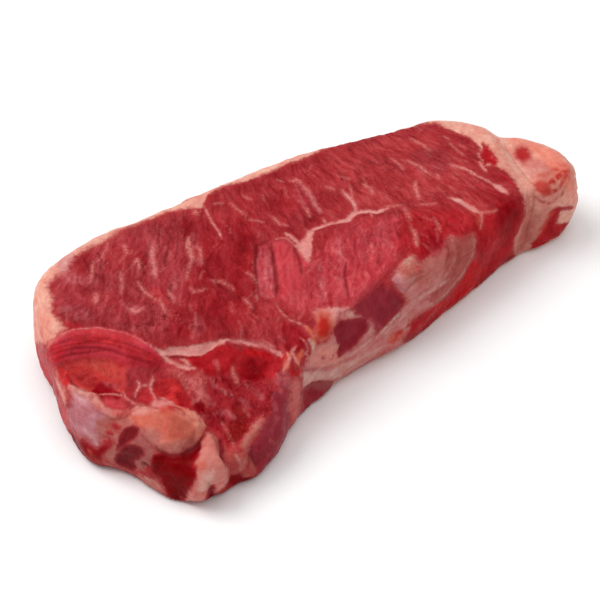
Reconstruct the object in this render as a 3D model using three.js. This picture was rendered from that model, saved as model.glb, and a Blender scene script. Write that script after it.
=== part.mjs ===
// A raw boneless sirloin (strip loin) steak, cut thick and lying flat on one cut face.
// Millimetres. +X runs from the chine end to the tail, +Y towards the fat cap, +Z up.
// The origin is the middle of the bounding box's underside.
import * as THREE from "three";
import { mergeVertices } from "three/addons/utils/BufferGeometryUtils.js";

// Driving dimensions.
const LENGTH = 214; // chine end to tail
const WIDTH = 114; // fat cap to the foot of the chain lobe
const THICKNESS = 31; // cut face to cut face at the eye muscle

// Cells of the skin: along the length, across the width and up the sides.
const CELLS_LONG = 88;
const CELLS_WIDE = 38;
const CELLS_HIGH = 10;

// The outline seen from above, counterclockwise, as four sides that share their corners.
// Each station is [x, y, shoulder, belly]: shoulder is how far the rim of the top face
// stands in from the outline, and belly is the height at which the side bulges furthest.
const TAIL_END = [
  [97, -12, 5, 13],
  [105, -7, 6, 14],
  [107, 4, 7, 15],
  [103, 16, 7, 15],
  [95, 26, 7, 15],
  [90, 35, 7, 15],
];
const CAP_EDGE = [
  [84, 42.5, 7, 15],
  [74, 48.5, 7, 15],
  [60, 49.5, 6, 15],
  [44, 51, 5, 15],
  [18, 54.5, 5, 16],
  [-10, 53.5, 5, 16],
  [-36, 51.5, 5, 16],
  [-56, 51, 5, 16],
  [-72, 50, 6, 16],
];
const CHINE_END = [
  [-87, 45.5, 8, 15],
  [-97, 37, 9, 15],
  [-103, 22, 9, 14],
  [-106, 4, 9, 12],
  [-106, -12, 12, 8],
  [-104, -24, 12, 7],
  [-97, -33, 10, 8],
  [-93, -43, 9, 8],
];
const BONE_EDGE = [
  [-88, -53, 9, 8],
  [-76, -57.5, 9, 7],
  [-63, -55.5, 8, 7],
  [-47, -51.5, 7, 8],
  [-33.5, -42, 7, 8],
  [-18, -35, 8, 9],
  [4, -31, 9, 9],
  [24, -26.5, 10, 10],
  [44, -21.5, 10, 10],
  [60, -15, 9, 11],
  [78, -12.5, 7, 12],
];
const FOOT = 3; // how far the underside's rim stands in from the outline
const SQUARENESS = 2.6; // exponent of the rounding between the faces and the sides

// The seam between the eye muscle and the chain lobe, on the top face. Past it the lobe
// falls away towards its own rim.
const SEAM = [
  [-110, 4],
  [-97, 10],
  [-88, 6],
  [-79, -2],
  [-73, -10],
  [-60, -17],
  [-46, -22],
  [-39, -28],
  [-34, -38],
];
const LOBE_DROP_CHINE = 11; // how far the lobe falls in all at the chine end
const LOBE_DROP_BONE = 18; // and at its bone end
const LOBE_RUN = 18; // the distance over which it loses about two thirds of that
const LOBE_TURN = [-95, -60]; // the stretch of X over which it goes from one to the other
const SEAM_ROUNDING = 5;

// The relief stands out from that form, along the normal. A crease or a roll follows a path
// over the skin; a lump or a hollow sits round a point. Each fades out at its own reach.
const CREASES = [
  // where the tail folds against the eye muscle, over the top and down the bone edge
  { depth: 2.2, reach: 6, path: [[91, 26, 30], [87, 8, 30], [82, -6, 29], [81, -11, 20], [79, -10, 5]] },
  // the seams of fat that part the eye muscle's bundles
  { depth: 0.9, reach: 4, path: [[-27, 46, 30], [-28, 36, 30], [-29, 26, 30]] },
  { depth: 1, reach: 4.5, path: [[-10, 5, 30], [6, 16, 30], [15, 14, 30], [30, 10, 30]] },
  { depth: 0.9, reach: 4, path: [[52, 4, 30], [57, -3, 30], [63, -8, 29]] },
  // the seam round the chain lobe, the fold inside it and the split down its nose
  { depth: 1.2, reach: 6, path: SEAM.map(([x, y]) => [x, y, 28]) },
  { depth: 1.4, reach: 7, path: [[-103, 2, 24], [-92, 0, 26], [-83, -9, 25], [-74, -17, 25]] },
  { depth: 1.8, reach: 6, path: [[-67, -41, 18], [-68, -48, 16], [-70, -56, 8]] },
];
const ROLLS = [
  // the rolled edge of the chain muscle, and the ridge where its top meets its side
  { height: 1.4, reach: 7, path: [[-101, 7, 27], [-88, 3, 28], [-79, -7, 28], [-72, -13, 27]] },
  { height: 1.4, reach: 7, path: [[-104, -6, 20], [-98, -19, 22], [-84, -27, 21], [-74, -35, 19]] },
  // the silver skin's edge and the fat along the foot of the bone edge
  { height: 0.9, reach: 5, path: [[46, -13, 29], [46, -19, 17], [34, -23, 12], [12, -27, 13]] },
  { height: 1.5, reach: 6, path: [[-23, -36, 14], [-10, -32, 12], [10, -28, 8]] },
];
const LUMPS = [
  // fat on the chain lobe
  { height: 2.6, reach: 13, at: [-83, -36, 18] },
  { height: 1.6, reach: 9, at: [-96, -31, 14] },
  { height: 2, reach: 11, at: [-76, -55, 10] },
  { height: 1.8, reach: 8, at: [-62, -50, 13] },
  // the eye muscle's dome, and the bundle that stands proud of it
  { height: 0.5, reach: 80, at: [-15, 12, 30] },
  { height: 0.7, reach: 12, at: [-16, 3, 30] },
];
const HOLLOWS = [
  { depth: 3.6, reach: 9, at: [-31, -39, 6] },
  { depth: 1.4, reach: 10, at: [-92, -9, 24] },
  { depth: 1.2, reach: 10, at: [-89, -50, 8] },
  { depth: 1.2, reach: 12, at: [60, -15, 8] },
];
const TOP_RIPPLE = 0.15; // height of each wave of the unevenness on the cut face
const SIDE_RIPPLE = 0.35; // and on the fat cap and the other sides
const RIPPLE_LENGTHS = [37, 26, 19]; // the waves' lengths
const FLAT_EDGE = 4; // the relief grows from nothing at the underside to full at this height

const outline = [...TAIL_END, ...CAP_EDGE, ...CHINE_END, ...BONE_EDGE];
const sideStarts = [
  0,
  TAIL_END.length,
  TAIL_END.length + CAP_EDGE.length,
  TAIL_END.length + CAP_EDGE.length + CHINE_END.length,
  outline.length,
];
const planCurve = new THREE.CatmullRomCurve3(
  outline.map(([x, y]) => new THREE.Vector3(x, y, 0)),
  true,
);
const profileCurve = new THREE.CatmullRomCurve3(
  outline.map(([, , shoulder, belly]) => new THREE.Vector3(shoulder, belly, 0)),
  true,
);

// One side of the outline, between two corners, cut into equal lengths.
// Each station is { point, inward, shoulder, belly }.
function outlineSide(side, cells) {
  const samples = 10 * cells;
  const from = sideStarts[side] / outline.length;
  const to = sideStarts[side + 1] / outline.length;
  const params = Array.from({ length: samples + 1 }, (_, i) => from + ((to - from) * i) / samples);
  const points = params.map((t) => planCurve.getPoint(t % 1));
  const lengths = [0];
  for (let i = 1; i <= samples; i++) {
    lengths.push(lengths[i - 1] + points[i].distanceTo(points[i - 1]));
  }
  const stations = [];
  let i = 1;
  for (let cell = 0; cell <= cells; cell++) {
    const wanted = (lengths[samples] * cell) / cells;
    while (i < samples && lengths[i] < wanted) i++;
    const part = (wanted - lengths[i - 1]) / (lengths[i] - lengths[i - 1]);
    const t = (params[i - 1] + (params[i] - params[i - 1]) * part) % 1;
    const heading = planCurve.getTangent(t);
    const profile = profileCurve.getPoint(t);
    stations.push({
      point: planCurve.getPoint(t),
      inward: new THREE.Vector3(-heading.y, heading.x, 0).normalize(),
      shoulder: profile.x,
      belly: profile.y,
    });
  }
  return stations;
}
const tail = outlineSide(0, CELLS_WIDE);
const cap = outlineSide(1, CELLS_LONG).reverse();
const chine = outlineSide(2, CELLS_WIDE).reverse();
const bone = outlineSide(3, CELLS_LONG);

const seamCurve = new THREE.CatmullRomCurve3(SEAM.map(([x, y]) => new THREE.Vector3(x, y, 0)));
const seamPoints = seamCurve.getPoints(80);

function mix(a, b, share) {
  return a + (b - a) * share;
}

// How far a point lies past the seam: positive on the chain lobe, negative on the eye muscle.
function pastSeam(x, y) {
  let nearest = Infinity;
  let side = 1;
  for (let i = 1; i < seamPoints.length; i++) {
    const start = seamPoints[i - 1];
    const span = seamPoints[i].clone().sub(start);
    const share = ((x - start.x) * span.x + (y - start.y) * span.y) / span.lengthSq();
    const t = THREE.MathUtils.clamp(share, 0, 1);
    const dx = x - start.x - span.x * t;
    const dy = y - start.y - span.y * t;
    const distance = Math.hypot(dx, dy);
    if (distance < nearest) {
      nearest = distance;
      side = span.x * dy - span.y * dx;
    }
  }
  return side < 0 ? nearest : -nearest;
}

// Height of the top face before the relief.
function topHeight(x, y) {
  const distance = pastSeam(x, y);
  const past = (distance + Math.hypot(distance, SEAM_ROUNDING)) / 2;
  const turned = THREE.MathUtils.smoothstep(x, LOBE_TURN[0], LOBE_TURN[1]);
  const drop = mix(LOBE_DROP_CHINE, LOBE_DROP_BONE, turned);
  return THICKNESS - drop * (1 - Math.exp(-past / LOBE_RUN));
}

// A point of the side: level 0 is the rim of the underside and level 1 the rim of the top.
function sidePoint(station, level) {
  const rim = station.point.clone().addScaledVector(station.inward, station.shoulder);
  const rimHeight = topHeight(rim.x, rim.y);
  const angle = (level - 0.5) * Math.PI;
  const out = Math.abs(Math.cos(angle)) ** (2 / SQUARENESS);
  const rise = Math.abs(Math.sin(angle)) ** (2 / SQUARENESS);
  const above = level > 0.5;
  const inset = (above ? station.shoulder : FOOT) * (1 - out);
  const height = above ? mix(station.belly, rimHeight, rise) : station.belly * (1 - rise);
  return station.point.clone().addScaledVector(station.inward, inset).setZ(height);
}

// A Coons patch: fills the rim of the top face with a grid that follows all four sides.
function topPoint(i, j) {
  const u = i / CELLS_LONG;
  const v = j / CELLS_WIDE;
  const rim = (station) => sidePoint(station, 1);
  const point = new THREE.Vector3();
  point.addScaledVector(rim(bone[i]), 1 - v).addScaledVector(rim(cap[i]), v);
  point.addScaledVector(rim(chine[j]), 1 - u).addScaledVector(rim(tail[j]), u);
  point.addScaledVector(rim(bone[0]), -(1 - u) * (1 - v)).addScaledVector(rim(tail[0]), -u * (1 - v));
  point.addScaledVector(rim(cap[0]), -(1 - u) * v).addScaledVector(rim(cap[CELLS_LONG]), -u * v);
  return point.setZ(topHeight(point.x, point.y));
}

// 1 at the middle of a feature, 0 from its reach on.
function bell(distance, reach) {
  const t = Math.min(1, distance / reach);
  return (1 - t * t) ** 2;
}

const asVector = (at) => new THREE.Vector3(...at);
const asPathPoints = (path) => new THREE.CatmullRomCurve3(path.map(asVector)).getPoints(30);
const features = [
  ...CREASES.map(({ depth, reach, path }) => ({ height: -depth, reach, points: asPathPoints(path) })),
  ...ROLLS.map(({ height, reach, path }) => ({ height, reach, points: asPathPoints(path) })),
  ...LUMPS.map(({ height, reach, at }) => ({ height, reach, points: [asVector(at)] })),
  ...HOLLOWS.map(({ depth, reach, at }) => ({ height: -depth, reach, points: [asVector(at)] })),
];

// How far the relief stands out of the plain form at a point of its skin.
function relief(point, normal) {
  let height = 0;
  for (const feature of features) {
    const distance = Math.min(...feature.points.map((p) => p.distanceTo(point)));
    height += feature.height * bell(distance, feature.reach);
  }
  const ripple = mix(SIDE_RIPPLE, TOP_RIPPLE, Math.abs(normal.z));
  RIPPLE_LENGTHS.forEach((length, i) => {
    const heading = (i * 2 * Math.PI) / RIPPLE_LENGTHS.length;
    const along = point.x * Math.cos(heading) + point.y * Math.sin(heading) + point.z;
    height += ripple * Math.sin((2 * Math.PI * along) / length);
  });
  return height * THREE.MathUtils.smoothstep(point.z, 0, FLAT_EDGE);
}

// Two triangles, facing the side from which a, b, c, d run counterclockwise.
function quad(a, b, c, d) {
  return [a, b, c, a, c, d];
}

function topTriangles() {
  const rows = [];
  for (let j = 0; j <= CELLS_WIDE; j++) {
    rows.push(Array.from({ length: CELLS_LONG + 1 }, (_, i) => topPoint(i, j)));
  }
  const points = [];
  for (let j = 0; j < CELLS_WIDE; j++) {
    for (let i = 0; i < CELLS_LONG; i++) {
      points.push(...quad(rows[j][i], rows[j][i + 1], rows[j + 1][i + 1], rows[j + 1][i]));
    }
  }
  return points;
}

function sideAndUndersideTriangles() {
  const loop = [bone, tail, cap.toReversed(), chine.toReversed()].flatMap((side) => side.slice(0, -1));
  const rings = [];
  for (let level = 0; level <= CELLS_HIGH; level++) {
    rings.push(loop.map((station) => sidePoint(station, level / CELLS_HIGH)));
  }
  const points = [];
  for (let level = 0; level < CELLS_HIGH; level++) {
    for (let k = 0; k < loop.length; k++) {
      const next = (k + 1) % loop.length;
      const low = rings[level];
      const high = rings[level + 1];
      points.push(...quad(low[k], low[next], high[next], high[k]));
    }
  }
  const foot = rings[0];
  const flat = foot.map((p) => new THREE.Vector2(p.x, p.y));
  for (const [a, b, c] of THREE.ShapeUtils.triangulateShape(flat, [])) {
    points.push(foot[a], foot[c], foot[b]);
  }
  return points;
}

function steakGeometry() {
  const soup = new THREE.BufferGeometry().setFromPoints([...topTriangles(), ...sideAndUndersideTriangles()]);
  const skin = mergeVertices(soup, 1e-3);
  skin.computeVertexNormals();
  const position = skin.getAttribute("position");
  const normals = skin.getAttribute("normal");
  const point = new THREE.Vector3();
  const normal = new THREE.Vector3();
  for (let i = 0; i < position.count; i++) {
    point.fromBufferAttribute(position, i);
    normal.fromBufferAttribute(normals, i);
    point.addScaledVector(normal, relief(point, normal));
    position.setXYZ(i, point.x, point.y, point.z);
  }
  skin.deleteAttribute("normal");
  skin.computeBoundingBox();
  const size = skin.boundingBox.getSize(new THREE.Vector3());
  const middle = skin.boundingBox.getCenter(new THREE.Vector3());
  skin.translate(-middle.x, -middle.y, 0);
  skin.scale(LENGTH / size.x, WIDTH / size.y, THICKNESS / size.z);
  return skin;
}

const steak = new THREE.Mesh(
  steakGeometry(),
  new THREE.MeshStandardMaterial({ color: 0xa5363c, roughness: 0.45, metalness: 0 }),
);
steak.name = "steak";

const group = new THREE.Group();
group.add(steak);
export default group;
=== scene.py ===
"""Looks of the raw sirloin steak: one fine skin over the CAD solid, with fat, seams and marbling."""

import math
from typing import NamedTuple

import bmesh
import bpy
import numpy as np
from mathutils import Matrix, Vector, noise
from mathutils.bvhtree import BVHTree

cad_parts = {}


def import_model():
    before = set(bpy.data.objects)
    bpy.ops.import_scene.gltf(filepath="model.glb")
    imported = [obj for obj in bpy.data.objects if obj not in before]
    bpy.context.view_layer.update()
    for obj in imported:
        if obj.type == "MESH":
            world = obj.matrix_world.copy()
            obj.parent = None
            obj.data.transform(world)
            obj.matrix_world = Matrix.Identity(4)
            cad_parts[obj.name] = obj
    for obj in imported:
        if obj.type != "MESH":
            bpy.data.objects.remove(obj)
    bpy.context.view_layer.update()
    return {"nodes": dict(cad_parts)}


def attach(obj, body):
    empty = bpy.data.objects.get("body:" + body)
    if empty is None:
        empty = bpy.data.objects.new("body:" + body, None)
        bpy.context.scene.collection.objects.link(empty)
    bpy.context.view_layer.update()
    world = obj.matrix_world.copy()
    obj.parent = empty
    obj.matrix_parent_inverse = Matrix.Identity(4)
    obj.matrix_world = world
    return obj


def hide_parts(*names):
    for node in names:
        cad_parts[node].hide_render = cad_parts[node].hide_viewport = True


MM = 0.001

# Camera, in mm in the CAD frame. Pixels are those of a square image of IMAGE_SIDE.
IMAGE_SIDE = 600
LENS = 92.0
SENSOR = 36.0
CAMERA_AZIMUTH = math.radians(-30.0)
CAMERA_ELEVATION = math.radians(44.0)
CAMERA_DISTANCE = 559.2
CAMERA_TARGET = np.array([-5.80, 11.95, 0.0])
FOCAL_PIXELS = IMAGE_SIDE * LENS / SENSOR
# A pixel's size on the steak, in mm.
PIXEL = CAMERA_DISTANCE / FOCAL_PIXELS

# With a fixed seed the noise is the same in every run.
NOISE_SEED = 5

# Skin mesh: the edge of its cells in mm, how it is smoothed, and from which cosine of the angle
# between its face and the camera it is twice as fine.
VOXEL = 1.19
SMOOTHING = 0.5
SMOOTHING_ROUNDS = 4
SEEN_FROM = 0.0
# Where the skin's plan is eased from the CAD solid's: centre, shift and reach, all in mm.
PLAN_SHIFTS = [
    ((-104.0, 9.0), (2.1, -1.3), 12.0),
    ((-98.0, -14.0), (-1.2, -0.8), 8.0),
    ((-59.0, -51.0), (-1.2, -2.2), 6.0),
    ((-41.0, -43.5), (-1.6, 1.8), 7.0),
    ((56.0, -11.5), (1.4, -2.0), 12.0),
    ((20.0, -24.0), (1.2, -2.0), 12.0),
]
# The depth in fat, in lean or in a crease is stored up to this many mm.
FAR = 6.0

# How painted edges wander: the size of the waves in mm, and how far they go, in pixels for what
# the camera sees and in mm for the underside.
EDGE_WAVES = [(6.0, 1.6), (2.2, 1.1), (1.2, 0.9)]
UNDER_WAVES = [(9.0, 1.6), (3.5, 0.8)]
# The fat cap's border is softer at its left end: full from which pixel, none from which pixel.
CAP_SOFT = (110.0, 220.0)
CAP_SOFTNESS = 1.2
# How soft the edges of lean areas are, in mm.
LEAN_SOFTNESS = 2.4

# The fibres of the cut face fan out from this centre, in mm, and start at this height.
GRAIN_CENTRE = np.array([21.0, 158.0])
TOP_Z = 28.0
# Fibres lean by this much of their drop down a wall.
GRAIN_SLANT = 0.7
# The muscle in front of seam b has its own straight grain: the way of its fibres, and its edge in
# pixels.
FRONT_GRAIN = np.array([0.5, 0.866])
FRONT_MUSCLE = [
    (256, 246), (272, 240), (290, 242), (312, 262), (316, 232), (350, 222), (372, 213), (400, 212),
    (412, 235), (402, 256), (380, 285), (354, 310), (318, 314), (312, 326), (298, 323), (283, 315),
    (275, 302), (258, 294),
]

# What the moist surface adds to every colour, and how much light fat gives back for its colour.
HAZE = 0.005
FAT_GAIN = 0.86

# Colours as they look in daylight, red, green and blue from 0 to 255.
COLOURS = {
    "meat": (160, 41, 46),
    "seam": (226, 146, 140),
    "pink": (208, 104, 102),
    "nose_brown": (192, 92, 76),
    "blood": (122, 14, 20),
    "grey_blood": (118, 30, 35),
    "brown_fat": (190, 110, 102),
    "rosy": (196, 62, 70),
    "bright": (200, 44, 46),
    "vivid": (204, 28, 30),
    "red": (178, 30, 36),
    "band": (184, 49, 60),
    "dull": (158, 47, 53),
    "deep": (142, 18, 26),
    "dark": (116, 4, 12),
    "plum": (148, 44, 55),
    "dark_plum": (142, 35, 46),
    "film": (186, 84, 92),
    "amber": (184, 50, 50),
    "fat": (238, 169, 151),
    "cream": (224, 146, 130),
    "nose": (214, 108, 90),
    "peach": (236, 148, 130),
    "pink_fat": (214, 128, 118),
    "dull_fat": (196, 112, 102),
    "grey_fat": (206, 124, 120),
    "lilac": (198, 124, 132),
    "veil": (156, 78, 78),
    "silver": (182, 90, 84),
    "pale": (216, 160, 150),
    "white": (236, 190, 176),
    "orange": (208, 88, 64),
    "warm": (172, 50, 54),
    "tail_pink": (242, 138, 118),
    "tail_red": (194, 54, 46),
    "hot_orange": (190, 33, 27),
    "hot_red": (190, 14, 20),
    "fleck": (216, 126, 120),
    # Painted shade for the creases.
    "crease": (92, 10, 18),
}

# Lean inside the fat cap: the line where the lean ends along the back and at both ends, in pixels.
CAP_LINE = [
    (66, 331), (68, 328), (64, 323), (58, 318), (53, 312), (52, 305), (55, 300), (51, 293), (48, 288),
    (52, 283), (56, 277), (63, 275), (68, 274), (71, 270), (72, 264), (76, 258), (83, 252), (90, 249),
    (98, 246), (106, 241), (113, 236), (122, 231), (135, 226), (150, 220), (163, 215), (172, 212),
    (183, 209), (196, 209), (203, 206), (206, 201), (210, 195), (216, 190), (224, 187), (232, 185),
    (240, 183), (250, 181), (262, 176), (280, 168), (300, 160), (330, 147), (360, 139), (390, 130),
    (410, 124), (425, 124), (436, 124), (446, 129), (454, 132), (462, 135), (470, 139), (477, 145),
    (480, 152), (480, 160), (484, 166), (489, 167), (495, 166), (503, 170), (510, 177), (516, 184),
    (520, 192), (524, 200), (525, 207), (523, 215), (520, 224), (514, 240), (512, 250), (516, 257),
]
# The same edge goes on outside the steak.
CAP_OUTSIDE = [(560, 300), (640, 240), (640, 60), (300, 60), (40, 160), (0, 260), (0, 345), (47, 345)]

# The underside's lean, seen from above, in mm.
UNDER_LEAN = [
    (-114, 8), (-113, 26), (-97, 32), (-91, 36), (-82, 40), (-70, 43), (-40, 44), (-10, 46), (20, 47),
    (45, 44), (62, 41), (74, 34), (78, 20), (76, 4), (66, -8), (42, -15), (20, -22), (-18, -30),
    (-36, -38), (-46, -62), (-62, -66), (-82, -64), (-100, -52), (-112, -30), (-114, -4),
]
# Seams of fat on the underside: name, half width and way, in mm from above.
UNDER_SEAMS = [
    ("under main seam", 1.4, [
        (-110, 10), (-95, 8), (-86, 1), (-77, -9), (-67, -14), (-57, -20), (-47, -25), (-40, -32),
        (-35, -44)]),
    ("under lobe fork", 1.1, [(-77, -9), (-80, -19), (-86, -27), (-84, -38)]),
    ("under lobe fork, right", 1.0, [(-79, -16), (-71, -26), (-67, -36)]),
    ("under middle seam", 1.3, [(-18, -5), (-7, 4), (4, 13), (17, 13), (29, 10), (40, 12)]),
    ("under middle branch", 1.1, [(1, 10), (2, 20), (-4, 29)]),
    ("under middle foot", 1.0, [(-7, 4), (-12, 13)]),
    ("under left seam", 1.0, [(-29, 41), (-32, 31), (-39, 23)]),
    ("under right seam", 1.2, [(50, 6), (59, 1), (67, -4), (77, -6)]),
    ("under right seam, high", 1.0, [(55, 28), (64, 22), (74, 21)]),
]

# The lobe in front of the main seam, in pixels.
LOBE = [
    (44, 345), (71, 331), (97, 329), (126, 334), (147, 345), (165, 350), (207, 346), (232, 340),
    (265, 345), (285, 356), (300, 376), (310, 440), (200, 520), (60, 460), (30, 380),
]

# Fat areas: name, colour of the fat, softness of the edge in mm, edge in pixels.
FAT_AREAS = [
    ("left corner strip", "pink_fat", 1.2, [
        (55, 366), (60, 372), (63, 384), (69, 396), (70, 404), (66, 407), (62, 400), (58, 389), (55, 377)]),
    ("lilac membrane", "lilac", 2.6, [
        (67, 384), (72, 387), (80, 391), (90, 393), (94, 398), (97, 404), (104, 410), (112, 414),
        (118, 417), (114, 421), (108, 426), (106, 434), (103, 442), (99, 449), (92, 446), (84, 440),
        (76, 436), (68, 430), (65, 422), (66, 410), (70, 400), (69, 392)]),
    ("grey membrane", "brown_fat", 1.8, [
        (96, 420), (108, 416), (120, 413), (132, 412), (140, 424), (148, 438), (157, 447), (157, 453),
        (154, 461), (148, 468), (140, 473), (130, 472), (118, 466), (104, 460), (102, 452), (108, 448),
        (114, 442), (110, 438), (98, 442)]),
    ("under strip", "dull_fat", 1.8, [
        (102, 460), (115, 463), (128, 472), (142, 475), (150, 478), (160, 480), (165, 488), (166, 496),
        (156, 494), (140, 485), (120, 474), (104, 466)]),
    ("nose, left lump", "nose", 1.6, [
        (126, 410), (138, 406), (152, 406), (162, 409), (165, 420), (164, 434), (160, 446), (152, 447),
        (144, 440), (136, 430), (130, 420)]),
    ("nose lump", "nose", 1.0, [
        (158, 404), (166, 402), (176, 404), (186, 409), (198, 413), (204, 420), (206, 428), (203, 436),
        (196, 441), (190, 447), (180, 452), (170, 454), (160, 452), (155, 447), (157, 436), (161, 424),
        (158, 412)]),
    ("nose crumbs", "seam", 1.6, [
        (150, 402), (156, 399), (163, 397), (172, 399), (178, 405), (172, 409), (160, 409), (150, 407)]),
    ("low lump", "pink_fat", 1.3, [
        (205, 433), (212, 433), (218, 438), (221, 446), (223, 455), (227, 464), (230, 471), (231, 480),
        (226, 486), (218, 493), (210, 501), (200, 504), (190, 502), (183, 504), (187, 493), (193, 484),
        (196, 474), (194, 466), (197, 455), (200, 446), (203, 438)]),
    ("small lump", "silver", 1.5, [
        (224, 442), (228, 448), (233, 451), (240, 450), (247, 446), (252, 449), (251, 456), (254, 463),
        (257, 470), (252, 475), (245, 478), (240, 474), (233, 476), (229, 470), (227, 462), (224, 454)]),
    ("pale membrane", "pink", 2.6, [
        (166, 368), (176, 369), (186, 374), (196, 374), (202, 370), (207, 378), (206, 392), (208, 404),
        (205, 416), (203, 420), (200, 414), (206, 408), (202, 402), (196, 402), (192, 404), (190, 396),
        (187, 388), (181, 381), (172, 375)]),
    ("pink strip", "pink", 2.0, [
        (289, 378), (302, 376), (304, 392), (303, 414), (300, 428), (294, 440), (288, 446), (286, 440),
        (289, 430), (289, 420), (286, 408), (288, 394)]),
    ("main seam", "seam", 0.8, [
        (150, 344), (158, 347), (166, 347), (178, 345), (192, 345), (203, 343), (211, 341), (220, 340),
        (232, 339), (246, 339), (258, 341), (268, 345), (276, 349), (285, 354), (282, 358), (272, 353),
        (262, 348), (250, 345), (240, 344), (230, 343), (222, 345), (214, 348), (207, 352), (199, 356),
        (188, 356), (176, 355), (166, 355), (160, 353)]),
    ("diagonal fat", "dull_fat", 1.7, [
        (238, 450), (240, 441), (246, 432), (252, 424), (257, 417), (263, 414), (267, 418), (263, 427),
        (257, 436), (251, 444), (246, 451)]),
    ("amber corner", "seam", 1.2, [
        (312, 311), (320, 308), (330, 308), (340, 307), (350, 306), (352, 310), (342, 314), (338, 322),
        (334, 330), (329, 340), (320, 343), (313, 336), (315, 324)]),
    ("front fat", "grey_fat", 1.5, [
        (301, 374), (304, 364), (311, 354), (318, 343), (326, 340), (331, 334), (334, 325), (337, 312),
        (345, 310), (352, 309), (358, 312), (368, 317), (373, 321), (376, 330), (383, 328), (390, 322),
        (400, 312), (406, 302), (402, 296), (396, 288), (390, 280), (396, 268), (404, 261), (410, 254),
        (415, 256), (420, 262), (430, 256), (438, 252), (445, 247), (446, 237), (450, 234), (462, 236),
        (475, 233), (477, 242), (476, 254), (470, 265), (463, 275), (456, 285), (448, 295), (440, 303),
        (430, 310), (418, 316), (410, 322), (411, 330), (404, 340), (404, 360), (350, 400), (335, 384),
        (322, 382), (312, 385), (305, 392), (301, 400)]),
    ("sheath", "cream", 1.3, [
        (497, 138), (505, 148), (512, 159), (520, 169), (530, 181), (535, 192), (536, 205), (534, 214),
        (531, 226), (528, 240), (530, 250), (516, 260), (512, 250), (514, 240), (519, 228), (523, 215),
        (525, 207), (524, 198), (517, 186), (510, 177), (503, 170), (497, 161), (493, 150)]),
    ("seam b, triangle", "seam", 1.0, [
        (306, 231), (311, 228), (315, 231), (314, 240), (312, 251), (309, 264), (303, 258), (297, 251),
        (291, 244), (298, 243), (303, 239), (305, 235)]),
]

# Lean areas that cut back into the fat: name, colour, edge in pixels.
LEAN_AREAS = [
    ("cap red spot", "red", [
        (482, 144), (488, 147), (493, 153), (497, 161), (495, 167), (490, 163), (485, 166), (484, 160),
        (480, 157), (482, 151)]),
    ("tail front lean", "red", [
        (552, 213), (560, 210), (557, 218), (556, 224), (566, 225), (571, 232), (560, 241), (545, 248),
        (530, 252), (536, 239), (541, 231), (547, 222)]),
    ("chine red", "deep", [
        (60, 427), (68, 431), (76, 437), (86, 443), (98, 449), (102, 444), (110, 446), (104, 453),
        (100, 462), (88, 456), (72, 446)]),
    ("patch beside lilac", "grey_blood", [
        (121, 433), (126, 428), (134, 426), (139, 430), (135, 438), (128, 444), (121, 449), (116, 450),
        (118, 443)]),
    ("patch under lilac", "grey_blood", [
        (115, 458), (120, 451), (127, 446), (136, 446), (143, 449), (144, 454), (140, 459), (135, 462),
        (137, 469), (130, 471), (124, 467), (117, 463)]),
    ("under nose", "blood", [
        (153, 455), (160, 453), (170, 454), (182, 452), (192, 447), (199, 440), (204, 434), (201, 446),
        (197, 455), (194, 466), (196, 474), (193, 484), (187, 493), (182, 506), (174, 504), (166, 494),
        (164, 485), (160, 477), (152, 473), (150, 466)]),
    ("under small lump", "blood", [
        (233, 475), (240, 474), (246, 477), (252, 476), (252, 484), (240, 488), (230, 486), (228, 480)]),
    ("plum by the clump", "plum", [
        (354, 313), (360, 304), (368, 298), (374, 292), (380, 287), (388, 290), (396, 294), (402, 300),
        (402, 308), (396, 316), (388, 322), (380, 330), (376, 334), (374, 323), (366, 318)]),
    ("plum in the fat", "dark_plum", [
        (336, 325), (340, 320), (350, 319), (360, 318), (367, 319), (369, 326), (366, 332), (361, 337),
        (357, 345), (350, 350), (345, 354), (340, 358), (337, 354), (339, 346), (336, 338), (334, 332)]),
    ("membrane eye", "deep", [
        (192, 408), (195, 403), (200, 401), (205, 404), (207, 410), (204, 415), (197, 414)]),
    ("chine oval", "rosy", [
        (100, 401), (106, 399), (113, 399), (120, 402), (126, 406), (122, 409), (112, 408), (105, 405)]),
    ("low lump, notch", "deep", [(205, 500), (208, 490), (213, 483), (214, 492), (212, 499)]),
]

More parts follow.
